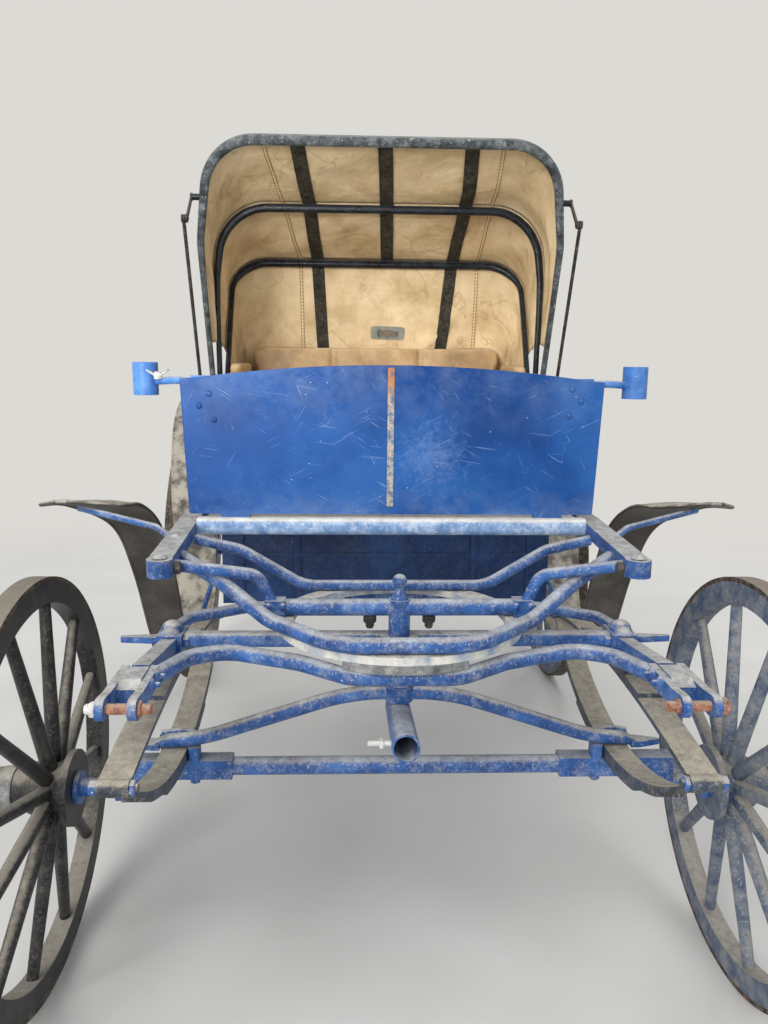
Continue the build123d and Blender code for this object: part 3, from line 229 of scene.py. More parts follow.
# Zinc-plated screws: whitish and dull.
zinc = dusty_coat("dull_zinc_plate", ("#a4a5a3", "#c6c6c2", "#dcdbd6"), "#d6d2c8", 0.5, 0.3, 0.75, 0.45,
                  rust="#a29a8c", across=0.01)
# Black japan on bent steel bows: near black with a wet gloss and a little dust on top.
bow_black = dusty_coat("black_japan_on_steel", ("#0c0d10", "#15171c", "#20242b"), "#8c8a85", 0.3, 0.12, 0.76,
                       0.2, under="#2a2724", rust="#4a4036", specks=0.3)
# Patent leather sewn round the inner bows: blue-black with a wet gloss.
patent = dusty_coat("patent_leather_on_bows", ("#0d1014", "#171c22", "#252c34"), "#8a9096", 0.22, 0.05, 0.78,
                    0.2, under="#2c2c2c", rust="#565450", specks=0.15, across=0.04)
# Harness leather binding over the front bow: blue-grey, its grain scuffed to pale grey along the edge.
bow_leather = dusty_coat("scuffed_harness_leather", ("#2b3034", "#454b4e", "#62686a"), "#a2a5a2", 0.6, 0.4,
                         0.62, 0.42, under="#6d6e6c", rust="#a3a29c", spot=0.02, across=0.03)
# Cotton webbing, once black: dull brown-black with dust in its weave.
strap_web = dusty_coat("black_cotton_webbing", ("#1c1a14", "#2b281f", "#3f3b2f"), "#6f6a5a", 0.4, 0.45, 0.7,
                       0.8, under="#4d4838", rust="#6b6450", specks=0.4, across=0.02)
# Waxed thread of the lining's seams.
thread = dusty_coat("waxed_brown_thread", ("#5b4027", "#735233", "#8a6844"), "#a99472", 0.3, 0.3, 0.8, 0.7,
                    under="#5b4027", rust="#8a6844", specks=0.0, across=0.01)


def dash_enamel():
    """Ultramarine enamel on sheet steel: smooth and strong in colour, with fine scratches that run any way,
    pale scuffs, white specks, a pale veil towards the top that is partly dust and partly painted sheen, and a
    paler lower edge."""
    made, tree, shader = material("ultramarine_enamel_on_sheet")
    where = add(tree, "TexCoord")
    at = where.outputs["Object"]
    tone = add(tree, "TexNoise", {"Vector": at, "Scale": 1 / 0.22, "Detail": 6.0, "Roughness": 0.62})
    blues = ((0.36, "#123c78"), (0.5, "#194a8b"), (0.64, "#26599a"))
    colour = add(tree, "ValToRGB", {"Fac": tone}, stops=blues)
    # Scratches: their slant in degrees, length in metres and strength, each 9 mm apart at most
    for slant, long, share in (
            (31, 0.30, 0.42), (-27, 0.34, 0.32), (64, 0.22, 0.34), (-58, 0.28, 0.28), (8, 0.4, 0.3)):
        turned = add(tree, "Mapping", {"Vector": at, "Rotation": (0, radians(slant), 0),
                                       "Scale": (long, 1, 0.009)}, vector_type="TEXTURE")
        line = add(tree, "TexNoise", {"Vector": turned, "Scale": 3.4, "Detail": 2.0, "Roughness": 0.4,
                                      "Distortion": 0.12})
        patch = add(tree, "TexNoise", {"Vector": at, "Scale": 1 / 0.1 + slant * 0.02, "Detail": 4.0})
        keep = add(tree, "MapRange", {"Value": patch, "From Min": 0.5, "From Max": 0.6, "To Max": share})
        thin = add(tree, "MapRange", {"Value": line, "From Min": 0.68, "From Max": 0.72})
        cut = add(tree, "Math", {0: thin, 1: keep}, operation="MULTIPLY")
        colour = add(tree, "Mix", {"Factor": cut, "A": colour, "B": linear("#9fb6da")}, data_type="RGBA")
    dots = add(tree, "TexVoronoi", {"Vector": at, "Scale": 1 / 0.028, "Randomness": 1.0})
    speck = add(tree, "MapRange", {"Value": dots, "From Min": 0.05, "From Max": 0.02, "To Max": 0.8})
    colour = add(tree, "Mix", {"Factor": speck, "A": colour, "B": linear("#d5d9de")}, data_type="RGBA")
    # A patch rubbed pale beside the strip, 100 mm across
    off = add(tree, "VectorMath", {0: at, 1: (0.080, DASH_FACE_Y, 0.965)}, operation="DISTANCE")
    rub = add(tree, "TexNoise", {"Vector": at, "Scale": 1 / 0.016, "Detail": 10.0, "Roughness": 0.8})
    worn = add(tree, "Math", {0: off.outputs["Value"], 1: -3.0, 2: rub}, operation="MULTIPLY_ADD")
    scuff = add(tree, "MapRange", {"Value": worn, "From Min": 0.28, "From Max": 0.56, "To Max": 0.34})
    colour = add(tree, "Mix", {"Factor": scuff, "A": colour, "B": linear("#7f9ac6")}, data_type="RGBA")
    # Paler towards the top, partly dust and partly painted sheen, and paler along the lower edge, in clouds
    z = add(tree, "SeparateXYZ", {"Vector": at}).outputs["Z"]
    top = add(tree, "MapRange", {"Value": z, "From Min": 1.0, "From Max": 1.15, "To Max": 0.3})
    low = add(tree, "MapRange", {"Value": z, "From Min": 0.90, "From Max": 0.85, "To Max": 0.34})
    band = add(tree, "Math", {0: top, 1: low}, operation="ADD")
    film = add(tree, "TexNoise", {"Vector": at, "Scale": 1 / 0.06, "Detail": 12.0, "Roughness": 0.72})
    veil = add(tree, "MapRange", {"Value": film, "From Min": 0.4, "From Max": 0.7})
    haze = add(tree, "Math", {0: band, 1: veil}, operation="MULTIPLY")
    colour = add(tree, "Mix", {"Factor": haze, "A": colour, "B": linear("#8f9fb8")}, data_type="RGBA")
    rough = add(tree, "MapRange", {"Value": film, "From Min": 0.35, "From Max": 0.7, "To Min": 0.3,
                                   "To Max": 0.52})
    finish_shader(tree, shader, colour, rough, film, 0.0006, 0.35)
    shader.inputs["Specular IOR Level"].default_value = 0.2
    return made


def hood_lining():
    """Tan drill cloth, glued and nailed over the bows: matt, wrinkled, browned where damp has dried, with
    brown tide lines where a slow noise passes one value, and a twill too fine to show drawn at 9 mm."""
    made, tree, shader = material("tan_drill_lining")
    at = add(tree, "TexCoord").outputs["UV"]
    tone = add(tree, "TexNoise", {"Vector": at, "Scale": 1 / 0.18, "Detail": 8.0, "Roughness": 0.66})
    tans = ((0.34, "#c0a578"), (0.5, "#dbc196"), (0.66, "#ead4ab"))
    cloth = add(tree, "ValToRGB", {"Fac": tone}, stops=tans)
    stain = add(tree, "TexNoise", {"Vector": at, "Scale": 1 / 0.07, "Detail": 9.0, "Roughness": 0.7,
                                   "Distortion": 0.6})
    damp = add(tree, "MapRange", {"Value": stain, "From Min": 0.56, "From Max": 0.74, "To Max": 0.45})
    colour = add(tree, "Mix", {"Factor": damp, "A": cloth, "B": linear("#8d7350")}, data_type="RGBA")
    pool = add(tree, "TexNoise", {"Vector": at, "Scale": 1 / 0.26, "Detail": 4.0, "Roughness": 0.5})
    tide = add(tree, "ValToRGB", {"Fac": pool}, stops=((0.580, 0.0), (0.588, 0.36), (0.596, 0.0)))
    colour = add(tree, "Mix", {"Factor": tide, "A": colour, "B": linear("#86683f")}, data_type="RGBA")
    slack = add(tree, "TexNoise", {"Vector": at, "Scale": 1 / 0.24, "Detail": 3.0, "Distortion": 1.2},
                noise_type="RIDGED_MULTIFRACTAL")
    crease = add(tree, "TexNoise", {"Vector": at, "Scale": 1 / 0.10, "Detail": 5.0, "Distortion": 0.9})
    twill = add(tree, "TexWave", {"Vector": at, "Scale": 1 / 0.009, "Distortion": 0.4},
                bands_direction="DIAGONAL")
    folds = add(tree, "Math", {0: slack, 1: 0.35, 2: crease}, operation="MULTIPLY_ADD")
    relief = add(tree, "Math", {0: twill, 1: 0.03, 2: folds}, operation="MULTIPLY_ADD")
    rough = add(tree, "MapRange", {"Value": stain, "To Min": 0.82, "To Max": 0.95})
    finish_shader(tree, shader, colour, rough, relief, 0.020, 0.6)
    return made


def hide(name, shades, dust, cover, grain, at_kind="Object"):
    """Leather: pebbled grain drawn at `grain` metres, dull sheen, dust where it faces up."""
    made, tree, shader = material(name)
    where = add(tree, "TexCoord")
    at = where.outputs[at_kind]
    tone = add(tree, "TexNoise", {"Vector": at, "Scale": 1 / 0.12, "Detail": 7.0, "Roughness": 0.65})
    skin_tone = add(tree, "ValToRGB", {"Fac": tone}, stops=tuple(zip((0.34, 0.5, 0.68), shades)))
    facing = add(tree, "SeparateXYZ", {"Vector": where.outputs["Normal"]})
    up = add(tree, "MapRange", {"Value": facing.outputs["Z"], "From Min": -0.15, "From Max": 0.8})
    cloud = add(tree, "TexNoise", {"Vector": at, "Scale": 1 / 0.045, "Detail": 10.0, "Roughness": 0.7})
    heap = add(tree, "Math", {0: up, 1: cloud}, operation="ADD")
    lying = add(tree, "MapRange", {"Value": heap, "From Min": 0.62, "From Max": 1.15, "To Max": cover})
    spots = add(tree, "TexVoronoi", {"Vector": at, "Scale": 1 / 0.013})
    splash = add(tree, "MapRange", {"Value": spots, "From Min": 0.15, "From Max": 0.06, "To Max": 0.34})
    soil = add(tree, "Math", {0: lying, 1: splash}, operation="MAXIMUM")
    powder = add(tree, "ValToRGB", {"Fac": cloud}, stops=((0.38, shades[2]), (0.56, dust)))
    colour = add(tree, "Mix", {"Factor": soil, "A": skin_tone, "B": powder}, data_type="RGBA")
    pebble = add(tree, "TexVoronoi", {"Vector": at, "Scale": 1 / grain}, feature="SMOOTH_F1")
    bend = add(tree, "TexNoise", {"Vector": at, "Scale": 1 / 0.08, "Detail": 4.0, "Distortion": 1.0})
    relief = add(tree, "Math", {0: pebble, 1: 0.12, 2: bend}, operation="MULTIPLY_ADD")
    rough = add(tree, "MapRange", {"Value": soil, "From Max": 0.6, "To Min": 0.5, "To Max": 0.9})
    finish_shader(tree, shader, colour, rough, relief, 0.006, 0.45)
    return made


def clouded_glass():
    """Old sheet glazing: brown-grey, dull, hardly clear any more."""
    made, tree, shader = material("clouded_sheet_glazing")
    at = add(tree, "TexCoord").outputs["Object"]
    fog = add(tree, "TexNoise", {"Vector": at, "Scale": 1 / 0.02, "Detail": 8.0})
    colour = add(tree, "ValToRGB", {"Fac": fog}, stops=((0.35, "#6f6252"), (0.65, "#7b6e5d")))
    rough = add(tree, "MapRange", {"Value": fog, "To Min": 0.2, "To Max": 0.5})
    finish_shader(tree, shader, colour, rough, fog, 0.0002, 0.1)
    return made


def strip_finish():
    """A worn steel strip: orange rust towards its top, dull bare metal below, specks of blue all over."""
    made, tree, shader = material("rusted_cover_strip")
    at = add(tree, "TexCoord").outputs["Object"]
    blot = add(tree, "TexNoise", {"Vector": at, "Scale": 1 / 0.011, "Detail": 9.0, "Roughness": 0.78})
    bare = add(tree, "ValToRGB", {"Fac": blot}, stops=(
        (0.40, "#46618f"), (0.46, "#7c8184"), (0.52, "#9a968c"), (0.57, "#bdb9b0"), (0.62, "#a9693f")))
    rusts = ((0.38, "#4a5f8a"), (0.45, "#9a6a48"), (0.58, "#bf7b45"))
    rusty = add(tree, "ValToRGB", {"Fac": blot}, stops=rusts)
    z = add(tree, "SeparateXYZ", {"Vector": at}).outputs["Z"]
    uneven = add(tree, "Math", {0: blot, 1: 0.24, 2: z}, operation="MULTIPLY_ADD")
    high = add(tree, "MapRange", {"Value": uneven, "From Min": 1.19, "From Max": 1.24})
    colour = add(tree, "Mix", {"Factor": high, "A": bare, "B": rusty}, data_type="RGBA")
    rough = add(tree, "MapRange", {"Value": blot, "To Min": 0.6, "To Max": 0.9})
    finish_shader(tree, shader, colour, rough, blot, 0.001)
    return made


dash_blue = dash_enamel()
lining = hood_lining()
pane_glass = clouded_glass()
strip_iron = strip_finish()
# Enamelled cowhide on the hood's outside: blue-black, cracked fine, grey with dust on its top.
hood_hide = hide("enamelled_hood_leather", ("#15171b", "#202329", "#33373c"), "#8d8a82", 0.75, 0.005, "UV")
# Pebbled mudguard leather: dark and speckled below, beige with dust above.
wing_hide = hide("pebbled_mudguard_leather", ("#2f2b27", "#45413c", "#5c5852"), "#b3ab9b", 0.95, 0.006)
# The grey-green cloth round the rear light.
grey_hide = hide("grey_green_patch_cloth", ("#6b6c5e", "#85867a", "#9b9c8e"), "#a5a496", 0.4, 0.004)
# Buff-leather upholstery: warm tan, worn pale on its crown.
seat_hide = hide("buff_upholstery_leather", ("#8e6f49", "#ab8a5f", "#c5a678"), "#cdb791", 0.55, 0.005)
# Piping leather: dark brown, a little dust along its top.
welt_hide = hide("dark_welt_leather", ("#2a2119", "#3a2f24", "#4a3d30"), "#8c8069", 0.5, 0.004)


# Mesh making. A shape is a pair: its points and its faces.
def grid_faces(rows, cols, wrap=False):
    """Quads of a grid of points in rows; wrap joins the last column to the first."""
    r, c = np.meshgrid(np.arange(rows - 1), np.arange(cols if wrap else cols - 1), indexing="ij")
    n = (c + 1) % cols
    return np.stack([r * cols + c, r * cols + n, (r + 1) * cols + n, (r + 1) * cols + c], -1).reshape(-1, 4)


def end_caps(rings, n):
    """The two faces that close a tube of rings of n points."""
    return [list(range(n))[::-1], list(range((rings - 1) * n, rings * n))]


def rim_faces(rows, cols):
    """Quads that join the border of one grid of points to the same border of a second grid after it."""
    n = rows * cols
    ring = np.concatenate([np.arange(cols), np.arange(2, rows) * cols - 1, n - 1 - np.arange(cols),
                           np.arange(rows - 2, 0, -1) * cols])
    nxt = np.roll(ring, -1)
    return np.stack([ring, nxt, nxt + n, ring + n], -1)


def joined(*shapes):
    """Several shapes as one."""
    points, faces, first = [], [], 0
    for p, f in shapes:
        p = np.asarray(p, float).reshape(-1, 3)
        points.append(p)
        faces += [[i + first for i in face] for face in f]
        first += len(p)
    return np.concatenate(points), faces


def piece(name, shape, mats, body, which=None, uv=None, smooth=True):
    """A mesh object from a shape, with its materials, riding on a body (or on none while body is None)."""
    points, faces = shape
    mesh = bpy.data.meshes.new(name)
    mesh.from_pydata(np.asarray(points, float).tolist(), [], [list(map(int, f)) for f in faces])
    for m in mats if isinstance(mats, (list, tuple)) else [mats]:
        mesh.materials.append(m)
    if which is not None:
        mesh.polygons.foreach_set("material_index", np.asarray(which, np.int32))
    if uv is not None:
        corner = np.empty(len(mesh.loops), np.int32)
        mesh.loops.foreach_get("vertex_index", corner)
        layer = mesh.uv_layers.new(name="UVMap")
        layer.data.foreach_set("uv", np.asarray(uv, np.float32)[corner].ravel())
    mesh.polygons.foreach_set("use_smooth", np.full(len(mesh.polygons), smooth))
    mesh.update()
    obj = bpy.data.objects.new(name, mesh)
    bpy.context.scene.collection.objects.link(obj)
    if body:
        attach(obj, body)
    return obj


def outward(obj):
    """The faces of a closed piece turned to point outwards."""
    work = bmesh.new()
    work.from_mesh(obj.data)
    bmesh.ops.remove_doubles(work, verts=work.verts, dist=1e-6)
    bmesh.ops.recalc_face_normals(work, faces=work.faces)
    work.to_mesh(obj.data)
    work.free()
    return obj


def by_angle(obj, degrees=38):
    """Edges sharper than this angle stay crisp, the rest is smooth."""
    obj.data.set_sharp_from_angle(angle=radians(degrees))
    return obj


def swept(path, profile, ref):
    """A profile, or one profile for each point of the path, carried along it: each profile point (a, b) lies
    a along the side direction and b along the reference made square to the path's tangent."""
    path, profile = np.asarray(path, float), np.asarray(profile, float)
    profile = profile if profile.ndim == 3 else profile[None]
    along = np.gradient(path, axis=0)
    along /= np.linalg.norm(along, axis=1, keepdims=True)
    ref = np.broadcast_to(np.asarray(ref, float), path.shape)
    side = np.cross(along, ref)
    side /= np.linalg.norm(side, axis=1, keepdims=True)
    up = np.cross(side, along)
    points = path[:, None] + profile[..., :1] * side[:, None] + profile[..., 1:] * up[:, None]
    n = profile.shape[1]
    return points.reshape(-1, 3), grid_faces(len(path), n, True).tolist() + end_caps(len(path), n)


def oval(half_a, half_b, n=16, power=2.0):
    """A closed outline: |a / half_a| ^ power + |b / half_b| ^ power = 1."""
    t = np.linspace(0, 2 * pi, n, endpoint=False)
    way = np.stack([np.cos(t), np.sin(t)], -1)
    return np.sign(way) * abs(way) ** (2 / power) * (half_a, half_b)


def curve(points, n=8):
    """A smooth line through the points: each stretch is the cubic whose end slopes are half the chord across
    the neighbouring points."""
    p = np.asarray(points, float)
    p = np.vstack([2 * p[0] - p[1], p, 2 * p[-1] - p[-2]])
    t = np.linspace(0, 1, n, endpoint=False)[None, :, None]
    a, b, c, d = p[:-3, None], p[1:-2, None], p[2:-1, None], p[3:, None]
    square, cube = 2 * a - 5 * b + 4 * c - d, 3 * b - a - 3 * c + d
    line = 0.5 * (2 * b + (c - a) * t + square * t ** 2 + cube * t ** 3)
    return np.vstack([line.reshape(-1, p.shape[1]), p[-2]])


def turned(profile, centre, axis, n=20, twist=0.0):
    """A profile of (radius, height) pairs turned about an axis through the centre; radius 0 closes an end."""
    axis = np.asarray(axis, float) / np.linalg.norm(axis)
    other = np.array([0, 0, 1.0]) if abs(axis[2]) < 0.9 else np.array([0, 1.0, 0])
    u = np.cross(axis, other)
    u /= np.linalg.norm(u)
    v = np.cross(axis, u)
    t = np.linspace(0, 2 * pi, n, endpoint=False) + twist
    r, h = np.asarray(profile, float).T
    ring = np.cos(t)[:, None] * u + np.sin(t)[:, None] * v
    points = np.asarray(centre, float) + r[:, None, None] * ring[None] + h[:, None, None] * axis
    return points.reshape(-1, 3), grid_faces(len(r), n, True).tolist() + end_caps(len(r), n)


def nut(centre, axis, across=0.018, tall=0.010, twist=0.0):
    """A hexagon nut, standing on the centre: six flats, then a smaller hexagon that chamfers its corners."""
    r = across / 2 / cos(pi / 6)
    return turned(((r, 0), (r, tall * 0.8), (r * 0.86, tall)), centre, axis, 6, twist)


def dome(centre, axis, radius=0.008, tall=0.005, n=16):
    """A round bolt head: height falls off with the square of the distance from its middle."""
    s = np.linspace(1, 0.02, 7)
    return turned([(radius * k, tall * (1 - k * k)) for k in s], centre, axis, n)


def bolt_end(centre, axis, radius=0.005, tall=0.012):
    """A plain screw end with a chamfer."""
    return turned(((radius, 0), (radius, tall * 0.85), (radius * 0.75, tall)), centre, axis, 12)


def wing_nut(centre, axis, lift, size=0.018):
    """A wing nut: a small cone with two flat ears that lean out from it."""
    hub = turned(((size * 0.4, 0), (size * 0.3, size * 0.6)), centre, axis, 14)
    axis, lift = np.asarray(axis, float), np.asarray(lift, float)
    ears = []
    for way in (-1, 1):
        start = np.asarray(centre) + axis * size * 0.3 + lift * way * size * 0.25
        end = start + axis * size * 0.5 + lift * way * size * 0.75
        flat = oval(size * 0.09, size * 0.3, 12)
        ears.append(swept(np.linspace(start, end, 5), flat, np.cross(axis, lift)))
    return joined(hub, *ears)


def fitting(name, shapes, mat, body):
    """A small stiff piece made of several shapes, its edges crisp, riding on a body."""
    obj = by_angle(outward(piece(name, joined(*shapes), mat, body)))


def on_hood(obj):
    """A piece of the hood, its place baked into its points."""
    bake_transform(obj)


# Hood
def rounded(corners, radii, n):
    """A polyline whose corners are arcs, as n points evenly spaced along it."""
    p = np.asarray(corners, float)
    line = [p[:1]]
    for i, r in enumerate(radii, 1):
        back, on = p[i - 1] - p[i], p[i + 1] - p[i]
        back, on = back / np.linalg.norm(back), on / np.linalg.norm(on)
        half = np.arccos(np.clip(back @ on, -1, 1)) / 2
        reach = r / np.tan(half)
        mid = (back + on) / np.linalg.norm(back + on)
        centre = p[i] + mid * r / np.sin(half)
        a, b = p[i] + back * reach - centre, p[i] + on * reach - centre
        turn = np.arccos(np.clip(a @ b / (r * r), -1, 1))
        k = np.linspace(0, 1, 24)[:, None]
        line.append(centre + (np.sin((1 - k) * turn) * a + np.sin(k * turn) * b) / np.sin(turn))
    line.append(p[-1:])
    line = np.vstack(line)
    step = np.concatenate([[0], np.cumsum(np.linalg.norm(np.diff(line, axis=0), axis=1))])
    want = np.linspace(0, step[-1], n)
    return np.stack([np.interp(want, step, line[:, k]) for k in range(2)], -1)


def arch(row, out, foot, n):
    """A bow's line in its plane, set outwards by `out`: upright legs, leaning shoulders and a flat top, the
    corners between them rounded."""
    _, leg, top, reach, corner = row
    half = np.array([(leg + out, foot), (leg + out, KNEE * reach), (top + out, reach + out)])
    knee_r = 0.24
    return rounded([*half * (-1, 1), *half[::-1]], (knee_r, corner + out, corner + out, knee_r), n)


def in_hood(flat, angle, back=0.0):
    """Points of a bow's plane in space: the second number runs from the pivot line up the plane."""
    a = radians(angle)
    return np.stack([flat[:, 0], HOOD_Y + flat[:, 1] * sin(a) + back * cos(a),
                     HOOD_Z + flat[:, 1] * cos(a) - back * sin(a)], -1)


# A cover's grid: points from foot to foot, rows from bow to bow, and how far up the bows its feet are
ACROSS = 161
LINING_ROWS = 25
FOOT = 0.150
# The line on the body's back where the hood ends, given as a bow
BACK_RAIL = (85.0, 0.486 - LEATHER_OUT, 0.480 - LEATHER_OUT, 0.3780 / sin(radians(85.0)) - LEATHER_OUT, 0.006)
# The covers' edges: at the back of the front bow, over the two others, and along the body
EDGES = (
    in_hood(arch(BOWS[0], 0.004, FOOT, ACROSS), BOWS[0][0], 0.0106),
    *(in_hood(arch(row, LEATHER_OUT, FOOT, ACROSS), row[0]) for row in (*BOWS[1:], BACK_RAIL)),
)


def ripple(u, v, waves):
    """Soft folds: a sum of sine waves, each with its own two wave numbers, size and start."""
    return sum(size * np.sin(2 * pi * (a * u + b * v) + start) for a, b, size, start in waves)


# Folds of each stretch: waves across the hood, waves from bow to bow, height in metres, start.
FOLDS = (
    ((1.5, 1.1, 0.0050, 1.9), (3.0, 0.9, 0.0032, 0.4), (7.0, 1.3, 0.0014, 2.1), (11.0, -1.8, 0.0009, 4.0)),
    ((2.0, 0.8, 0.0036, 0.7), (5.0, 1.2, 0.0026, 1.4), (9.0, -1.2, 0.0014, 0.2), (14.0, 1.6, 0.0007, 3.0)),
    ((3.0, 0.7, 0.0036, 2.4), (8.0, -0.8, 0.0016, 1.2), (13.0, 1.4, 0.0010, 5.0)),
)
# Slack cloth in the back's lower corners: place across (-1 to 1), place down, spread of both, height, slant.
DRAPES = ((-0.66, 0.72, 0.050, 0.30, 0.026, 0.16), (-0.54, 0.80, 0.040, 0.24, 0.018, 0.22),
          (0.64, 0.70, 0.050, 0.28, 0.026, -0.18), (0.52, 0.82, 0.040, 0.22, 0.017, -0.24),
          (-0.36, 0.62, 0.034, 0.30, 0.009, 0.34), (0.30, 0.58, 0.034, 0.30, 0.009, -0.40),
          (-0.14, 0.40, 0.030, 0.26, 0.006, -0.30), (0.16, 0.44, 0.030, 0.26, 0.006, 0.26))


def drapes(u, v):
    """Ridges of slack cloth: a bell across each slanting line, faded by a bell along it."""
    return sum(high * np.exp(-((u - place - slant * (v - down)) / wide) ** 2 - ((v - down) / long) ** 2)
               for place, down, wide, long, high, slant in DRAPES)


def stretch(i, rows, deeper=0.0):
    """The lining between two bows: straight from one to the next, sunk inwards between them by a parabola of
    the way across plus soft folds, and in the back drapes, that die out at the bows. deeper shifts it inwards
    everywhere."""
    a, b = EDGES[i], EDGES[i + 1]
    t = np.linspace(0, 1, rows)[:, None, None]
    flat = a[None] * (1 - t) + b[None] * t
    along = np.gradient(flat, axis=1)
    over = np.gradient(flat, axis=0)
    inward = np.cross(over, along)
    inward /= np.linalg.norm(inward, axis=2, keepdims=True)
    u = np.linspace(-1, 1, ACROSS)[None]
    v = t[..., 0]
    hold = 4 * v * (1 - v)
    sag = (0.010, 0.008, 0.006)[i] * hold * (0.6 + 0.4 * np.cos(pi * u) ** 2)
    depth = sag + ripple(u / 2, v, FOLDS[i]) * hold ** 0.6 + deeper
    if i == 2:
        depth = depth + drapes(u, v) * np.clip(hold * 3, 0, 1)
    return flat + inward * depth[..., None], inward


def hood_stretch(i, name, bodies, start, end):
    """One stretch of the hood: lining inside, leather 3 mm outside it, closed along its edges. Its UVs are
    metres along the cloth, each stretch at its own height, so that no two have the same stains."""
    inside, inward = stretch(i, LINING_ROWS)
    outside = inside - inward * 0.003
    quads = grid_faces(LINING_ROWS, ACROSS)
    rim = rim_faces(LINING_ROWS, ACROSS)
    faces = np.vstack([quads[:, ::-1], quads + LINING_ROWS * ACROSS, rim])
    which = np.concatenate([np.zeros(len(quads)), np.ones(len(quads) + len(rim))])
    u = np.cumsum(np.linalg.norm(np.diff(inside, axis=1, prepend=inside[:, :1]), axis=2), axis=1)
    v = np.cumsum(np.linalg.norm(np.diff(inside, axis=0, prepend=inside[:1]), axis=2), axis=0)
    uv = np.stack([u - u[:, -1:] / 2, v + (0, 1.3, 2.1)[i]], -1).reshape(-1, 2)
    points = np.concatenate([inside.reshape(-1, 3), outside.reshape(-1, 3)])
    mats = [lining, hood_hide]
    obj = outward(piece(name, (points, faces.tolist()), mats, None, which, np.vstack([uv, uv])))
    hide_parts(name.replace("_cover", "_leather"))
    on_hood(obj)


# The three stretches: name, bodies, where the bend between the bodies starts and ends.
STRETCHES = (
    ("hood_front_cover", ("front_bow", "middle_bow"), (0, 0.353, 1.034), (0, 0.579, 1.095)),
    ("hood_middle_cover", ("middle_bow", "rear_bow"), (0, 0.289, 1.103), (0, 0.579, 1.025)),
    ("hood_back_cover", ("rear_bow", "carriage"), (0, 0.341, 1.228), (0, 0.559, 0.892)),
)


def on_lining(i, col, row, sink):
    """Points on a stretch's inner side at fractional columns and rows of its grid, and the way inwards."""
    grid, inward = stretch(i, LINING_ROWS, sink)
    c, r = np.floor(col).astype(int), np.floor(row).astype(int)
    fc, fr = (col - c)[..., None], (row - r)[..., None]

    def mixed(g):
        """A grid's values between its four nearest points."""
        near, far = (g[k, c] * (1 - fc) + g[k, c + 1] * fc for k in (r, r + 1))
        return near * (1 - fr) + far * fr

    return mixed(grid), mixed(inward)


def on_stretch(i, xs, sink, n=17):
    """A line on the inner side of a stretch from bow to bow, at given places x on its two edges."""
    top = np.arange(20, ACROSS - 20)
    ends = [np.interp(x, edge[top, 0], top) for x, edge in zip(xs, EDGES[i:i + 2])]
    return on_lining(i, np.linspace(*ends, n), np.linspace(0, LINING_ROWS - 1.001, n), sink)


# Webbing straps and lining seams: their x at the front bow, middle bow, rear bow and lower end.
STRAPS = ((-0.239, -0.217, -0.203, -0.183), (0.003, 0.018, 0.031, None), (0.244, 0.261, 0.253, 0.221))
SEAMS = ((-0.334, -0.296, -0.260, -0.256), (0.333, 0.341, 0.339, 0.347))


def stitches(line, face, shift, long=0.007, gap=0.0045):
    """A row of thread stitches beside a line: short spindles, laid `shift` to one side of it."""
    step = np.concatenate([[0], np.cumsum(np.linalg.norm(np.diff(line, axis=0), axis=1))])
    side = np.cross(np.gradient(line, axis=0), face)
    side /= np.linalg.norm(side, axis=1, keepdims=True)
    line = line + shift * side
    shapes = []
    for start in np.arange(0.004, step[-1] - long, long + gap):
        spots = start + long * np.array((0.0, 0.5, 1.0))
        bit = np.stack([np.interp(spots, step, line[:, k]) for k in range(3)], -1)
        shapes.append(swept(bit, oval(0.0012, 0.0012, 6), face[0]))
    return joined(*shapes)


def hood_trim():
    """Flat straps 41 mm wide and 2.4 mm thick, and lapped seams 12 mm wide with two rows of stitches."""
    band = oval(0.0205, 0.0012, 16, 8)
    lap = oval(0.0065, 0.0008, 12, 6)
    for i, (name, bodies, start, end) in enumerate(STRETCHES):
        straps, laps, rows = [], [], []
        for xs in STRAPS:
            if xs[i + 1] is not None:
                line, face = on_stretch(i, xs[i:i + 2], 0.0034)
                straps.append(swept(line, band, face))
        for xs in SEAMS:
            line, face = on_stretch(i, xs[i:i + 2], 0.0012)
            laps.append(swept(line, lap, face))
            rows += [stitches(line + face * 0.0012, face, shift) for shift in (-0.0042, 0.0042)]
        for label, shapes, mat in (
                ("straps", straps, strap_web), ("seams", laps, lining), ("stitches", rows, thread)):
            obj = piece(name.replace("cover", label), joined(*shapes), mat, None)
            on_hood(by_angle(outward(obj)))


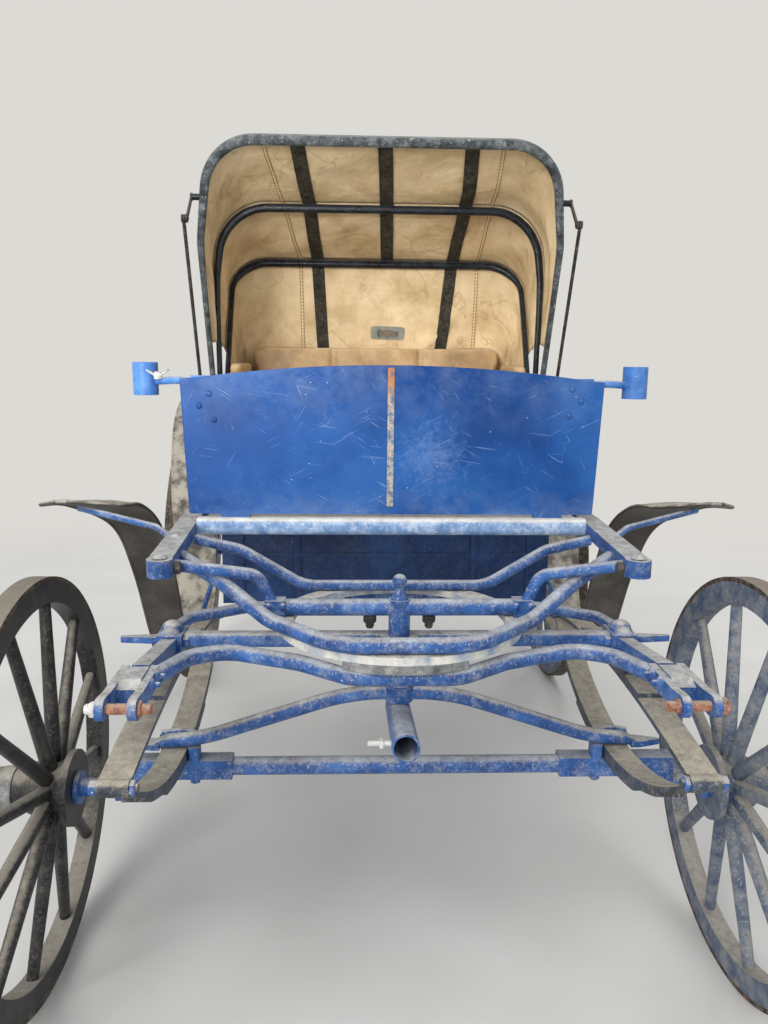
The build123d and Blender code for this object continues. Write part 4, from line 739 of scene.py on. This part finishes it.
def rear_window():
    """A small glazed light low in the hood's back: a grey patch sewn on the lining, a frame and a pane in it.
    A disc of rings is squared to |a|^7 + |b|^7 = 1 and laid on the lining's grid."""
    light_x, light_z = 0.040, 1.250
    grid = stretch(2, LINING_ROWS)[0]
    middle = ACROSS // 2
    row = np.interp(light_z, grid[::-1, middle, 2], np.arange(LINING_ROWS)[::-1])
    r = int(row)
    cell_x = grid[r, middle + 1, 0] - grid[r, middle, 0]
    cell_z = np.linalg.norm(grid[r + 1, middle] - grid[r, middle])
    col = middle + (light_x - grid[r, middle, 0]) / cell_x
    t = oval(1, 1, 40, 7)
    for label, half_x, half_z, inner, sink, mat in (
            ("patch", 0.060, 0.024, 0.0, 0.0020, grey_hide),
            ("frame", 0.036, 0.0155, 0.74, 0.0060, grey_iron),
            ("pane", 0.030, 0.0125, 0.0, 0.0038, pane_glass)):
        ring = np.linspace(1, inner, 6)[:, None]
        across, down = ring * t[:, 0] * half_x / cell_x, ring * t[:, 1] * half_z / cell_z
        flat, inward = on_lining(2, col + across, row + down, sink)
        back = flat - inward * 0.0012
        n = flat.shape[0] * flat.shape[1]
        sheet = grid_faces(len(ring), len(t), True)
        edge = np.arange(len(t))
        nxt = np.roll(edge, -1)
        wall = np.stack([edge, nxt, nxt + n, edge + n], -1)
        faces = [sheet, sheet[:, ::-1] + n, wall[:, ::-1]]
        if inner:
            faces.append(wall + n - len(t))
        faces = np.vstack(faces)
        points = np.vstack([flat.reshape(-1, 3), back.reshape(-1, 3)])
        obj = piece("rear_light_" + label, (points, faces.tolist()), mat, None)
        on_hood(by_angle(outward(obj)))


for index, place in enumerate(STRETCHES):
    hood_stretch(index, *place)
hood_trim()
rear_window()


def bow_binding():
    """Leather sewn round each bow: a rounded sleeve, thick over the top and thin down the legs, where the
    bows pass each other. The front bow's sleeve is the widest, with a welt where the cover is sewn on."""
    thin = 0.0083
    covers = []
    for body, row, thick, starts, mat in (("front_bow", BOWS[0], 0.0140, 0.45, bow_leather),
                                          ("middle_bow", BOWS[1], 0.0125, 0.45, patent),
                                          ("rear_bow", BOWS[2], 0.0125, 0.84, patent)):
        line, inner = arch(row, 0.0, 0.035, 181), arch(row, -0.0035, 0.035, 181)
        rise = np.clip((line[:, 1:] / row[3] - starts) / (0.95 - starts), 0, 1)
        path = in_hood(line * (1 - rise) + inner * rise, row[0])
        # Half its thickness in the bow's plane, and half its depth across the plane
        half = thin + (thick - thin) * rise
        deep = 0.0104 + 0.0018 * rise
        profile = oval(1, 1, 20, 3.0)[None] * np.stack([half, deep], -1)
        covers.append((body + "_sleeve", path, profile, mat, body, radians(row[0])))
    tilt = BOWS[0][0]
    path = in_hood(arch(BOWS[0], 0.0068, 0.10, 181), tilt, 0.0105)
    covers.append(("front_bow_welt", path, oval(0.0035, 0.0035, 10), bow_leather, "front_bow", radians(tilt)))
    for name, path, profile, mat, body, tilt in covers:
        obj = outward(piece(name, swept(path, profile, (0, cos(tilt), -sin(tilt))), mat, body))


bow_binding()


# Cushions
def box_form(low, high, power, rows=48, cols=96):
    """A closed block with round edges: each point of a ball is pushed out to |x|^p + |y|^p + |z|^p = 1 and
    scaled to the box."""
    low, high = np.asarray(low, float), np.asarray(high, float)
    v = np.linspace(-pi / 2, pi / 2, rows)[1:-1, None]
    u = np.linspace(0, 2 * pi, cols, endpoint=False)[None]
    p = np.stack([np.cos(v) * np.cos(u), np.cos(v) * np.sin(u), np.sin(v) + 0 * u], -1)
    p = p / (np.abs(p) ** power).sum(-1, keepdims=True) ** (1 / power)
    points = p.reshape(-1, 3) * (high - low) / 2 + (high + low) / 2
    faces = grid_faces(rows - 2, cols, True).tolist()
    n = len(points)
    middle = (low + high) / 2
    points = np.vstack([points, (*middle[:2], low[2]), (*middle[:2], high[2])])
    faces += [[(i + 1) % cols, i, n] for i in range(cols)]
    top = (rows - 3) * cols
    faces += [[top + i, top + (i + 1) % cols, n + 1] for i in range(cols)]
    return points, faces


def swollen(obj, voxel, cap, keep_in):
    """Stuffs a closed form: an even mesh, 20 frames of cloth under inner pressure without gravity, no point
    moved more than the cap, and the result held within what stands round it."""
    modifier = obj.modifiers.new("even", "REMESH")
    modifier.mode = "VOXEL"
    modifier.voxel_size = voxel
    apply_modifiers(obj)
    rest = np.empty(len(obj.data.vertices) * 3, np.float32)
    obj.data.vertices.foreach_get("co", rest)
    rest = rest.reshape(-1, 3).astype(float)
    cloth = obj.modifiers.new("stuffing", "CLOTH")
    cloth.settings.use_pressure = True
    cloth.settings.uniform_pressure_force = 4.0
    cloth.settings.effector_weights.gravity = 0.0
    cloth.settings.quality = 5
    for step in range(1, 21):
        bpy.context.scene.frame_set(step)
    apply_modifiers(obj)
    bpy.context.scene.frame_set(1)
    moved = np.empty(len(obj.data.vertices) * 3, np.float32)
    obj.data.vertices.foreach_get("co", moved)
    shift = moved.reshape(-1, 3).astype(float) - rest
    size = np.linalg.norm(shift, axis=1, keepdims=True)
    shift *= np.minimum(1, cap / np.maximum(size, 1e-9))
    points = keep_in(rest + shift)
    obj.data.vertices.foreach_set("co", points.astype(np.float32).ravel())
    obj.data.polygons.foreach_set("use_smooth", np.full(len(obj.data.polygons), True))
    obj.data.update()
    smooth = obj.modifiers.new("smooth", "SUBSURF")
    smooth.levels = 1
    smooth.render_levels = 1


def apply_modifiers(obj):
    """The piece's mesh as its modifiers leave it, with none left on it."""
    bpy.context.view_layer.update()
    seen = obj.evaluated_get(bpy.context.evaluated_depsgraph_get())
    mesh = bpy.data.meshes.new_from_object(seen)
    mesh.name = obj.name
    obj.modifiers.clear()
    obj.data = mesh


def soft_limit(value, limit, room):
    """Values past the limit less the room are eased so that they never pass the limit."""
    over = np.maximum(value - (limit - room), 0)
    return np.where(value > limit - room, limit - room + room * np.tanh(over / room), value)


def crown_fall(across, along):
    """How far the seat cushion's top lies below its middle, at shares of its half sizes: cubes of both."""
    return 0.020 * np.clip(abs(across) ** 3 + abs(along) ** 3, 0, 1.4)


def seat_cushion():
    """The seat cushion, flat below, crowned above, drawn in between its corners."""
    low, high = map(np.array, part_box("seat_cushion"))
    centre = (low + high) / 2
    half = (high - low) / 2
    form = box_form(low + 0.010, high - (0.010, 0.010, 0.016), 7.0)
    obj = piece("seat_cushion_cover", form, seat_hide, None)

    def keep_in(p):
        """Sides drawn in by a parabola between the corners, the top under the crown."""
        q = (p - centre) / half
        waist = 1 - 0.022 * (1 - np.minimum(abs(q), 1) ** 2)
        side_pull = 0.006 * (1 - q[:, 2:3] ** 2)
        p = p.copy()
        for k in (0, 1):
            limit = half[k] * waist[:, 1 - k] - side_pull[:, 0]
            p[:, k] = centre[k] + np.sign(q[:, k]) * soft_limit(abs(p[:, k] - centre[k]), limit, 0.010)
        p[:, 2] = soft_limit(p[:, 2], high[2] - crown_fall(q[:, 0], q[:, 1]), 0.010)
        p[:, 2] = np.maximum(p[:, 2], low[2])
        return p

    swollen(obj, 0.007, 0.024, keep_in)
    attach(obj, "carriage")
    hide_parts("seat_cushion")
    # Piping round the cushion's upper edge
    t = oval(1, 1, 120, 9)
    x = centre[0] + t[:, 0] * (half[0] - 0.012)
    y = centre[1] + t[:, 1] * (half[1] - 0.012)
    loop = np.stack([x, y, high[2] - crown_fall(*t.T) - 0.006], -1)
    cord_shape = swept(np.vstack([loop, loop[:2]]), oval(0.0042, 0.0042, 10), (0, 0, 1))
    cord = outward(piece("seat_cushion_piping", cord_shape, welt_hide, "carriage"))


def back_cushion():
    """The back cushion, its top rolled forward, its face crowned between two sewn channels."""
    low, high = map(np.array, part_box("back_cushion"))
    half_x = high[0]
    lean_from = 1.058
    back_y = high[1]

    def back_limit(z):
        """The plane behind the cushion, leaning forward above the seat's back."""
        return back_y - 0.032 * np.clip((z - lean_from) / (high[2] - lean_from), 0, 1)

    shape, faces = box_form((low[0] + 0.010, low[1] + 0.012, low[2] + 0.006), high - 0.010, 10.0)
    shape[:, 1] -= 0.028 * np.clip((shape[:, 2] - lean_from) / (high[2] - lean_from), 0, 1)
    obj = piece("back_cushion_cover", (shape, faces), seat_hide, None)

    def keep_in(p):
        """Held between the arms, the back and the top, with two bell-shaped grooves down the face."""
        p = p.copy()
        p[:, 0] = np.sign(p[:, 0]) * soft_limit(abs(p[:, 0]), half_x, 0.012)
        p[:, 1] = soft_limit(p[:, 1], back_limit(p[:, 2]), 0.006)
        p[:, 1] = -soft_limit(-p[:, 1], -low[1], 0.010)
        across = np.clip(abs(p[:, 0]) / half_x, 0, 1)
        top = high[2] - 0.004 - 0.010 * across ** 8
        p[:, 2] = soft_limit(p[:, 2], top, 0.014)
        p[:, 2] = np.maximum(p[:, 2], low[2])
        # Two sewn channels down the face
        for x in (-half_x / 3, half_x / 3):
            near = np.exp(-((p[:, 0] - x) / 0.010) ** 2) + 0.5 * np.exp(-((p[:, 0] - x) / 0.04) ** 2)
            face = np.clip((low[1] + 0.05 - p[:, 1]) / 0.03, 0, 1)
            p[:, 1] += 0.010 * near * face
        return p

    swollen(obj, 0.007, 0.024, keep_in)
    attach(obj, "carriage")
    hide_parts("back_cushion")


def arm_pads():
    """Arm pads: an oval section carried along each arm, shrinking at its ends as a half circle does."""
    shapes = []
    low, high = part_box("arm_pads")
    for side in (-1, 1):
        y = np.linspace(low[1] + 0.001, high[1] - 0.001, 45)
        k = np.clip(np.minimum(y - low[1], high[1] - y) / 0.03, 0, 1)
        swell = np.sqrt(1 - (1 - k) ** 2) * 0.96 + 0.04
        x0, z0 = side * (high[0] - 0.020), low[2]
        section = oval(0.0195, 0.020, 28, 3.0)
        points = np.empty((len(y), len(section), 3))
        points[..., 0] = x0 + section[None, :, 0] * swell[:, None]
        points[..., 1] = y[:, None]
        points[..., 2] = z0 + np.maximum(0.0205 + section[None, :, 1] * swell[:, None], 0.0)
        faces = grid_faces(len(y), len(section), True).tolist() + end_caps(len(y), len(section))
        shapes.append((points.reshape(-1, 3), faces))
    obj = piece("arm_pad_covers", joined(*shapes), seat_hide, "carriage")
    outward(obj)
    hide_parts("arm_pads")


seat_cushion()
back_cushion()
arm_pads()


# Wings: place behind the front axle, height, inner edge, outer edge, in metres.
WING_ROWS = (
    (0.228, 0.878, 0.628, 0.690), (0.300, 0.858, 0.570, 0.732), (0.420, 0.836, 0.552, 0.712),
    (0.520, 0.770, 0.536, 0.646), (0.572, 0.650, 0.520, 0.616), (0.628, 0.478, 0.508, 0.596),
    (0.710, 0.402, 0.500, 0.600), (0.950, 0.402, 0.498, 0.604),
)
# Their rear arc round the rear wheel: degrees up from the front, inner edge, outer edge.
WING_ARC = ((8, 0.498, 0.612), (32, 0.520, 0.636), (60, 0.545, 0.664), (92, 0.566, 0.690),
            (122, 0.576, 0.700), (145, 0.580, 0.700))
WING_ARC_R = 0.546


def wings():
    """Each wing is a sheet between two smooth edges, crowned across by a parabola 7 mm high and 4.5 mm thick,
    with a rolled edge round it."""
    rows = list(WING_ROWS)
    for angle, inner, outer in WING_ARC:
        a = radians(angle)
        behind = REAR_AXLE_Y - FRONT_AXLE_Y - WING_ARC_R * cos(a)
        rows.append((behind, REAR_R + WING_ARC_R * sin(a), inner, outer))
    per_row = 12
    line = curve(rows, per_row)
    y, z, inner, outer = line.T
    # Over its first 100 mm the sheet widens from a leaf's point, as a quarter circle does.
    k = np.clip((y - y[0]) / 0.10, 0, 1)
    k = np.where(np.arange(len(y)) < 2 * per_row, np.sqrt(k * (2 - k)), 1)
    tip = (inner + outer) / 2 + 0.015 * (1 - k)
    inner, outer = tip + (inner - tip) * k, tip + (outer - tip) * k
    path = np.stack([0 * y, y + FRONT_AXLE_Y, z], -1)
    along = np.gradient(path, axis=0)
    along /= np.linalg.norm(along, axis=1, keepdims=True)
    up = np.stack([0 * y, -along[:, 2], along[:, 1]], -1)
    w = np.linspace(-1, 1, 13)
    crown = 0.007 * k[:, None] * (1 - w ** 2)
    shapes, edges = [], []
    for side in (-1, 1):
        x = (inner + outer)[:, None] / 2 + (outer - inner)[:, None] / 2 * w[None]
        top = path[:, None] + up[:, None] * (crown[..., None] + 0.0005)
        top = top + np.array([1.0, 0, 0]) * x[..., None] * side
        low = top - up[:, None] * 0.0045
        n, m = len(y), len(w)
        quads = grid_faces(n, m)
        faces = np.vstack([quads, quads[:, ::-1] + n * m, rim_faces(n, m)]).tolist()
        shapes.append((np.concatenate([top.reshape(-1, 3), low.reshape(-1, 3)]), faces))
        for edge in (inner, outer):
            bead = path + np.array([side, 0, 0]) * edge[:, None] - up * 0.0015
            edges.append(swept(bead[1:], oval(0.0042, 0.0042, 10), up[1:]))
    obj = piece("wing_leaves", joined(*shapes), wing_hide, "carriage")
    by_angle(outward(obj), 50)
    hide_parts("wings")
    bead = piece("wing_edges", joined(*edges), wing_hide, "carriage")
    outward(bead)


wings()


# Small ironwork
def dash_trim():
    """The dash's middle strip, its bolt heads and its rolled edge."""
    y = DASH_FACE_Y
    line = [(-0.006, y - 0.0012, z) for z in (0.862, 1.0, 1.144)]
    strip = swept(line, oval(0.0068, 0.0014, 16, 6), (0, -1, 0))
    fitting("dash_strip", [strip], strip_iron, "carriage")
    heads = [dome((x, y, z), (0, -1, 0), 0.0065, 0.0035) for x, z in (
        (-0.371, 1.089), (-0.391, 1.065), (-0.362, 1.038), (0.363, 1.104), (0.382, 1.080), (0.359, 1.051))]
    obj = piece("dash_bolt_heads", joined(*heads), dash_blue, "carriage")
    # A rolled edge round the dash
    t = np.linspace(-1, 1, 41)[:, None]
    top = np.hstack([t * 0.399, 0 * t + y + 0.006, 1.119 + 0.028 * (1 - t * t)])
    side = np.array([(-0.4155, y + 0.006, 0.848), (-0.427, y + 0.006, 1.118)])
    edge = np.vstack([side, top, side[::-1] * (-1, 1, 1)])
    fitting("dash_rim", [swept(edge, oval(0.0022, 0.0062, 8, 4), (0, 1, 0))], dash_blue, "carriage")


dash_trim()


def well_boards():
    """Flat mouldings on the foot well's front: long horizontal beads and short upright ones."""
    low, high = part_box("well_panel")
    y = low[1]
    bars = []
    for z in (high[2] - 0.030, high[2] - 0.052, high[2] - 0.128):
        line = [(low[0] + 0.004, y, z), (0, y, z), (high[0] - 0.004, y, z)]
        bars.append(swept(line, oval(0.0045, 0.004, 10, 3), (0, -1, 0)))
    for x in (low[0] + 0.03, -0.215, 0.215, high[0] - 0.03):
        line = [(x, y, low[2] + 0.01), (x, y, (low[2] + high[2]) / 2), (x, y, high[2] - 0.008)]
        bars.append(swept(line, oval(0.010, 0.0045, 12, 4), (0, -1, 0)))
    heads = [dome((x, y - 0.004, high[2] - 0.022), (0, -1, 0), 0.008, 0.005) for x in (-0.345, 0.345)]
    fitting("well_mouldings", bars + heads, well_blue_painted_shade, "carriage")


well_boards()


def u_bolt(x, y, half_y, top, low):
    """A round U-bolt in a plane across the axle: up one side, over the top and down the other."""
    half = np.array([(0, -half_y, low), (0, -half_y, top - half_y * 0.5), (0, -half_y * 0.6, top)])
    line = np.vstack([half, half[::-1] * (1, -1, 1)]) + (x, y, 0)
    return swept(curve(line, 6), oval(0.0045, 0.0045, 10), (1, 0, 0))


def spring_clamps():
    """What holds the springs on the axles. In front: a strap over the leaves behind the stay bar, a packing
    block inboard of them and bolts down through the axle. Behind: two U-bolts over a plate."""
    shapes = []
    y, top = FRONT_AXLE_Y, FRONT_SEAT_Z
    shank = oval(0.0045, 0.0045, 10)
    strap = np.array([(-0.034, 0.034, 0.001), (-0.026, 0.034, 0.006), (0.026, 0.034, 0.006),
                      (0.034, 0.034, 0.001)])
    tie = np.array([(-0.030, 0.022, 0.013), (0.004, 0.024, 0.016), (0.030, 0.022, 0.013)])
    for side in (-1, 1):
        x = side * SPRING_X
        shapes.append(swept(curve(strap + (x, y, top), 4), oval(0.008, 0.0035, 16, 5), (0, 0, 1)))
        shapes.append(swept(curve(tie + (x, y, top), 5), oval(0.0055, 0.0055, 12), (0, 0, 1)))
        for dx in (-0.031, 0.031):
            line = [(x + dx, y + 0.030, top + 0.002), (x + dx, y + 0.030, top - 0.03),
                    (x + dx, y + 0.026, FRONT_AXLE_Z - 0.024)]
            shapes.append(swept(line, shank, (1, 0, 0)))
            shapes.append(nut((x + dx, y + 0.028, FRONT_AXLE_Z - 0.0185), (0, 0, -1), 0.016, 0.009, dx * 9))
        inboard = x - side * 0.034
        shapes.append(swept([(inboard, y - 0.006, FRONT_AXLE_Z + 0.0175), (inboard, y - 0.006, top + 0.003)],
                            oval(0.010, 0.016, 20, 6), (0, 1, 0)))
        shapes.append(nut((inboard, y - 0.006, FRONT_AXLE_Z - 0.018), (0, 0, -1), 0.017, 0.010, 0.4))
        shapes.append(dome((inboard + side * 0.002, y - 0.013, top + 0.0262), (0, 0, 1), 0.010, 0.005))
    fitting("fore_carriage_spring_clamps", shapes, bar_blue, "fore_carriage")
    shapes = []
    top = REAR_SEAT_Z
    for side in (-1, 1):
        x = side * SPRING_X
        shapes.append(swept([(x - 0.028, REAR_AXLE_Y, top + 0.003), (x + 0.028, REAR_AXLE_Y, top + 0.003)],
                            oval(0.040, 0.003, 20, 8), (0, 0, 1)))
        for dx in (-0.028, 0.028):
            shapes.append(u_bolt(x + dx, REAR_AXLE_Y, 0.026, REAR_R - 0.028, top + 0.014))
            for dy in (-0.026, 0.026):
                shapes.append(nut((x + dx, REAR_AXLE_Y + dy, top + 0.006), (0, 0, 1), 0.015, 0.008, dy * 9))
    fitting("carriage_spring_clamps", shapes, grey_iron, "carriage")


spring_clamps()


def wear_plate_face():
    """A bare iron skin 1 mm thick on the front of the lower wear plate: an arc of 53 degrees about the king
    pin."""
    a = np.radians(np.linspace(-26.6, 26.6, 41))
    reach, z = 0.2156, 0.6976
    path = np.stack([reach * np.sin(a), KING_Y - reach * np.cos(a), np.full(len(a), z)], -1)
    skin = swept(path, oval(0.0005, 0.0068, 12, 8), (0, 0, 1))
    fitting("wear_plate_face", [skin], grey_iron, "fore_carriage")


wear_plate_face()


def fore_fittings():
    """Nuts, bolts and pins of the turning carriage."""
    bolt_y, bolt_z = FRONT_AXLE_Y - 0.352, 0.690        # the shaft forks' cross bolts
    eye_y, eye_z = 0.388, 0.593                         # the springs' eyes, before and behind the axle
    pipe_z = 0.696                                      # the bent pipe's bolts
    boss = ((0.024, 0), (0.024, 0.004), (0.021, 0.007), (0.019, 0.014), (0.013, 0.019), (0.003, 0.021))
    shapes = [turned(boss, (0, FRONT_AXLE_Y - 0.048, STAY_BAR_TOP), (0, 0, 1), 28)]
    rusty, plated = [], []
    for side in (-1, 1):
        x = side * SPRING_X
        way, back = (side, 0, 0), (-side, 0, 0)
        # The bare shank between the cheeks, and the bolt's ends
        rusty.append(turned(((0.0076, -0.0155), (0.0076, 0.0155)), (x, bolt_y, bolt_z), way, 18))
        rusty.append(nut((x - side * 0.0285, bolt_y, bolt_z), back, 0.020, 0.005, 0.3))
        tip = ((0.0074, 0), (0.0074, 0.012), (0.006, 0.0135))
        rusty.append(turned(tip, (x - side * 0.033, bolt_y, bolt_z), back, 16))
        if side > 0:
            rusty.append(nut((x + 0.0285, bolt_y, bolt_z), way, 0.021, 0.012, 0.1))
        else:
            plated.append(nut((x - 0.0285, bolt_y, bolt_z), way, 0.020, 0.009, 0.2))
            tip = ((0.0074, 0), (0.0074, 0.005), (0.006, 0.007))
            plated.append(turned(tip, (x - 0.0372, bolt_y, bolt_z), way, 16))
        # Eye bolts of the springs
        for end in (-eye_y, eye_y):
            shapes.append(nut((x + side * 0.0225, FRONT_AXLE_Y + end, eye_z), way, 0.019, 0.009, end))
            shapes.append(nut((x - side * 0.0225, FRONT_AXLE_Y + end, eye_z), back, 0.019, 0.007, end * 2))
        # Two round nuts on the inner cheek where the bent pipe is bolted on, one bolt under the arm
        for dy in (-0.246, -0.280):
            shapes.append(dome((x - side * 0.0282, FRONT_AXLE_Y + dy, pipe_z), back, 0.011, 0.008, 18))
            shapes.append(bolt_end((x - side * 0.034, FRONT_AXLE_Y + dy, pipe_z), back, 0.004, 0.008))
        shapes.append(nut((x, FRONT_AXLE_Y - 0.120, 0.664), (0, 0, -1), 0.018, 0.012, 0.2))
        # Clamp round each knuckle: two lobes and their nuts
        for dy in (-0.017, 0.017):
            shapes.append(dome((x, FRONT_AXLE_Y + dy, 0.6836), (0, 0, 1), 0.0185, 0.012, 20))
        shapes.append(nut((x - side * 0.0225, FRONT_AXLE_Y - 0.012, 0.668), back, 0.020, 0.009, 0.5))
    fitting("fore_fittings", shapes, bar_blue, "fore_carriage")
    fitting("shaft_bolt_nuts", rusty, rust_orange, "fore_carriage")
    # Clamp screw in the side of the pole socket, with a square nut run up its thread
    tilt = radians(8)
    mouth = np.array([0, FRONT_AXLE_Y - 0.246 + 0.030 * cos(tilt), 0.5761 - 0.030 * sin(tilt)])
    left = (-1, 0, 0)
    plated.append(turned(((0.0045, 0), (0.0045, 0.036), (0.0035, 0.037)), mouth + (-0.0215, 0, 0), left, 14))
    plated.append(turned(((0.0085, 0), (0.0085, 0.006)), mouth + (-0.034, 0, 0), left, 4, pi / 4))
    fitting("clamp_screws", plated, zinc, "fore_carriage")


fore_fittings()


def upper_fittings():
    """Nuts and bolts of the fixed part: side irons, transom and lamp tubes."""
    ends, heads = [], []
    for side in (-1, 1):
        x = side * 0.405
        y = FRONT_AXLE_Y - 0.062
        heads.append(dome((x, y, 0.832), (0, 0, 1), 0.013, 0.007, 20))
        ends.append(nut((side * 0.382, y + 0.010, 0.812), (-side, 0, 0), 0.020, 0.010))
        for dy in (0.12, 0.29, 0.52):
            out = 0.410 + 0.014 * min(dy / 0.3, 1)
            heads.append(dome((side * out, FRONT_AXLE_Y + dy, 0.830), (0, 0, 1), 0.009, 0.004))
        # Bolts of the strap over each end of the cross bar, and the two bolts that hang below its middle
        for dx in (-0.013, 0.013):
            heads.append(dome((side * 0.216 + dx, KING_Y - 0.016, 0.738), (0, -1, 0), 0.007, 0.005))
        ends.append(bolt_end((side * 0.052, KING_Y - 0.002, 0.720), (0, 0, -1), 0.0075, 0.024))
        ends.append(nut((side * 0.052, KING_Y - 0.002, 0.7175), (0, 0, -1), 0.020, 0.012))
    screw = wing_nut((-0.478, FRONT_AXLE_Y + 0.300, 1.118), (0, -0.2, 0.98), (1, 0, 0), 0.022)
    # The bolt ends under the body in iron drawn dark as painted shade
    fitting("body_bolt_ends", ends, dark_iron_painted_shade, "carriage")
    fitting("body_bolt_heads", heads, bar_blue, "carriage")
    fitting("lamp_wing_screw", [screw], zinc, "carriage")


upper_fittings()


def hub_rings():
    """Iron hoops on each nave: one behind the spokes, one before them, and a lip round the nose."""
    for name, side, y, r in (
            ("front_left", -1, FRONT_AXLE_Y, FRONT_R), ("front_right", 1, FRONT_AXLE_Y, FRONT_R),
            ("rear_left", -1, REAR_AXLE_Y, REAR_R), ("rear_right", 1, REAR_AXLE_Y, REAR_R)):
        # The left side's near black is painted shade
        wood = left_wheel_painted_shade if side < 0 else wheel_blue
        shapes = []
        for radius, at, wide in ((0.0482, -0.050, 0.012), (0.0446, 0.004, 0.010), (0.0362, 0.066, 0.010)):
            x = side * (RIM_X + at)
            ring = ((radius - 0.002, -wide / 2), (radius + 0.0012, -wide / 2), (radius + 0.002, -wide / 3),
                    (radius + 0.002, wide / 3), (radius + 0.0012, wide / 2), (radius - 0.002, wide / 2))
            shapes.append(turned(ring, (x, y, r), (side, 0, 0), 48))
        fitting(name + "_hub_rings", shapes, wood, name + "_wheel")
        # The nose's sheet-iron sleeve, floured with dust
        x = side * (RIM_X + 0.035)
        sleeve = ((0.0385, 0), (0.0412, 0.0006), (0.0390, 0.0252), (0.0370, 0.0258))
        nose = turned(sleeve, (x, y, r), (side, 0, 0), 48)
        fitting(name + "_nose_sleeve", [nose], grey_iron, name + "_wheel")


hub_rings()


# Finishes of the solids that show as they are
FINISH = {
    dash_blue: ("dash",), lamp_blue: ("lamp_brackets",),
    well_blue_painted_shade: ("well_panel", "well_sides", "floor", "seat_box", "seat_arms", "seat_back", "rear_bed"),
    rail_blue: ("footboard",), bar_blue: ("side_irons", "stay_bar", "shaft_forks", "turntable_bed"),
    pipe_blue: ("upper_front_pipe", "upper_rear_pipe", "transom", "king_pin", "lower_front_pipe",
                "lower_rear_pipe", "pole_socket", "front_axle", "rear_axle", "wing_stays"),
    ring_cream: ("turntable_ring",), leaf_steel: ("front_springs", "rear_springs"),
    bow_black: ("front_bow", "middle_bow", "rear_bow"), dark_iron_painted_shade: ("hood_stay_links", "hood_stay_rods"),
    # The left wheels' near black is painted shade
    left_wheel_painted_shade: ("front_left_wheel", "rear_left_wheel"),
    wheel_blue: ("front_right_wheel", "rear_right_wheel"),
    tyre_iron: ("front_left_tyre", "front_right_tyre", "rear_left_tyre", "rear_right_tyre"),
}
for finish, names in FINISH.items():
    for node_name in names:
        for slot in nodes[node_name].material_slots:
            slot.material = finish


# Studio
def seen_by(tree):
    """1 for rays from the camera, off gloss and through glass, else 0."""
    path = add(tree, "LightPath")
    camera, gloss, through = (path.outputs[f"Is {ray} Ray"] for ray in ("Camera", "Glossy", "Transmission"))
    seen = add(tree, "Math", {0: camera, 1: gloss}, operation="MAXIMUM")
    return add(tree, "Math", {0: seen, 1: through}, operation="MAXIMUM")


def lamp(name, kind, place, aim, power, **settings):
    """A lamp at a place, turned towards its aim."""
    data = bpy.data.lights.new(name, kind)
    data.energy = power
    for key, value in settings.items():
        setattr(data, key, value)
    obj = bpy.data.objects.new(name, data)
    obj.location = place
    obj.rotation_euler = (Vector(aim) - Vector(place)).to_track_quat("-Z", "Y").to_euler()
    bpy.context.scene.collection.objects.link(obj)


def studio():
    """A pale floor, a soft lamp high on the left, weaker ones in front, on the right and behind, a narrow one
    into the hood, and light from all round."""
    made, tree, shader = material("pale_studio_floor")
    at = add(tree, "TexCoord").outputs["Object"]
    grain = add(tree, "TexNoise", {"Vector": at, "Scale": 3.0, "Detail": 6.0})
    colour = add(tree, "ValToRGB", {"Fac": grain}, stops=((0.3, "#d2d0ca"), (0.7, "#d9d7d2")))
    rough = add(tree, "MapRange", {"Value": grain, "To Min": 0.8, "To Max": 0.9})
    finish_shader(tree, shader, colour, rough, grain, 0.001, 0.1)
    # Far from the carriage the floor shows as the backdrop does, so that there is no dark horizon.
    away = add(tree, "VectorMath", {0: at}, operation="LENGTH")
    far = add(tree, "MapRange", {"Value": away.outputs["Value"], "From Min": 1.9, "From Max": 4.5},
              interpolation_type="SMOOTHSTEP")
    straight = seen_by(tree)
    pale = add(tree, "Math", {0: far, 1: straight}, operation="MULTIPLY")
    glow = add(tree, "Emission", {"Color": linear("#dcdad5"), "Strength": 1.0})
    mix = add(tree, "MixShader", {0: pale, 1: shader, 2: glow})
    tree.links.new(mix.outputs[0], next(n for n in tree.nodes if n.type == "OUTPUT_MATERIAL").inputs[0])
    floor_r, sides = 60, 96
    t = np.linspace(0, 2 * pi, sides, endpoint=False)
    disc = np.stack([floor_r * np.cos(t), floor_r * np.sin(t), 0 * t], -1)
    floor = piece("studio_floor", (disc, [list(range(sides))]), made, None, smooth=False)
    world = bpy.data.worlds.new("studio")
    bpy.context.scene.world = world
    world.use_nodes = True
    tree = world.node_tree
    tree.nodes.clear()
    seen = seen_by(tree)
    around = add(tree, "Background", {"Color": linear("#e8ecf2"), "Strength": 0.62})
    backdrop = add(tree, "Background", {"Color": linear("#dcdad5"), "Strength": 1.0})
    mix = add(tree, "MixShader", {0: seen, 1: around, 2: backdrop})
    add(tree, "OutputWorld", {"Surface": mix})
    # A narrow lamp low on the left, to light the hood's inside
    lamp("hood_lamp", "SPOT", (-2.0, -4.4, 1.75), (0.08, 0.55, 1.24), 680, spot_size=radians(13),
         spot_blend=0.9, shadow_soft_size=0.35)
    for name, place, aim, size, power in (
            ("key_lamp", (-2.6, -3.6, 4.2), (0, -0.3, 0.8), 3.0, 160),
            ("fill_lamp", (3.6, -3.0, 2.6), (0, 0, 0.7), 3.0, 50),
            ("front_lamp", (-1.6, -5.0, 1.9), (0, 0.4, 1.2), 2.4, 95),
            ("rear_lamp", (1.0, 4.0, 4.0), (0, 0.3, 0.9), 3.0, 110)):
        lamp(name, "AREA", place, aim, power, shape="SQUARE", size=size)
    bpy.context.scene.view_settings.view_transform = "Standard"


studio()
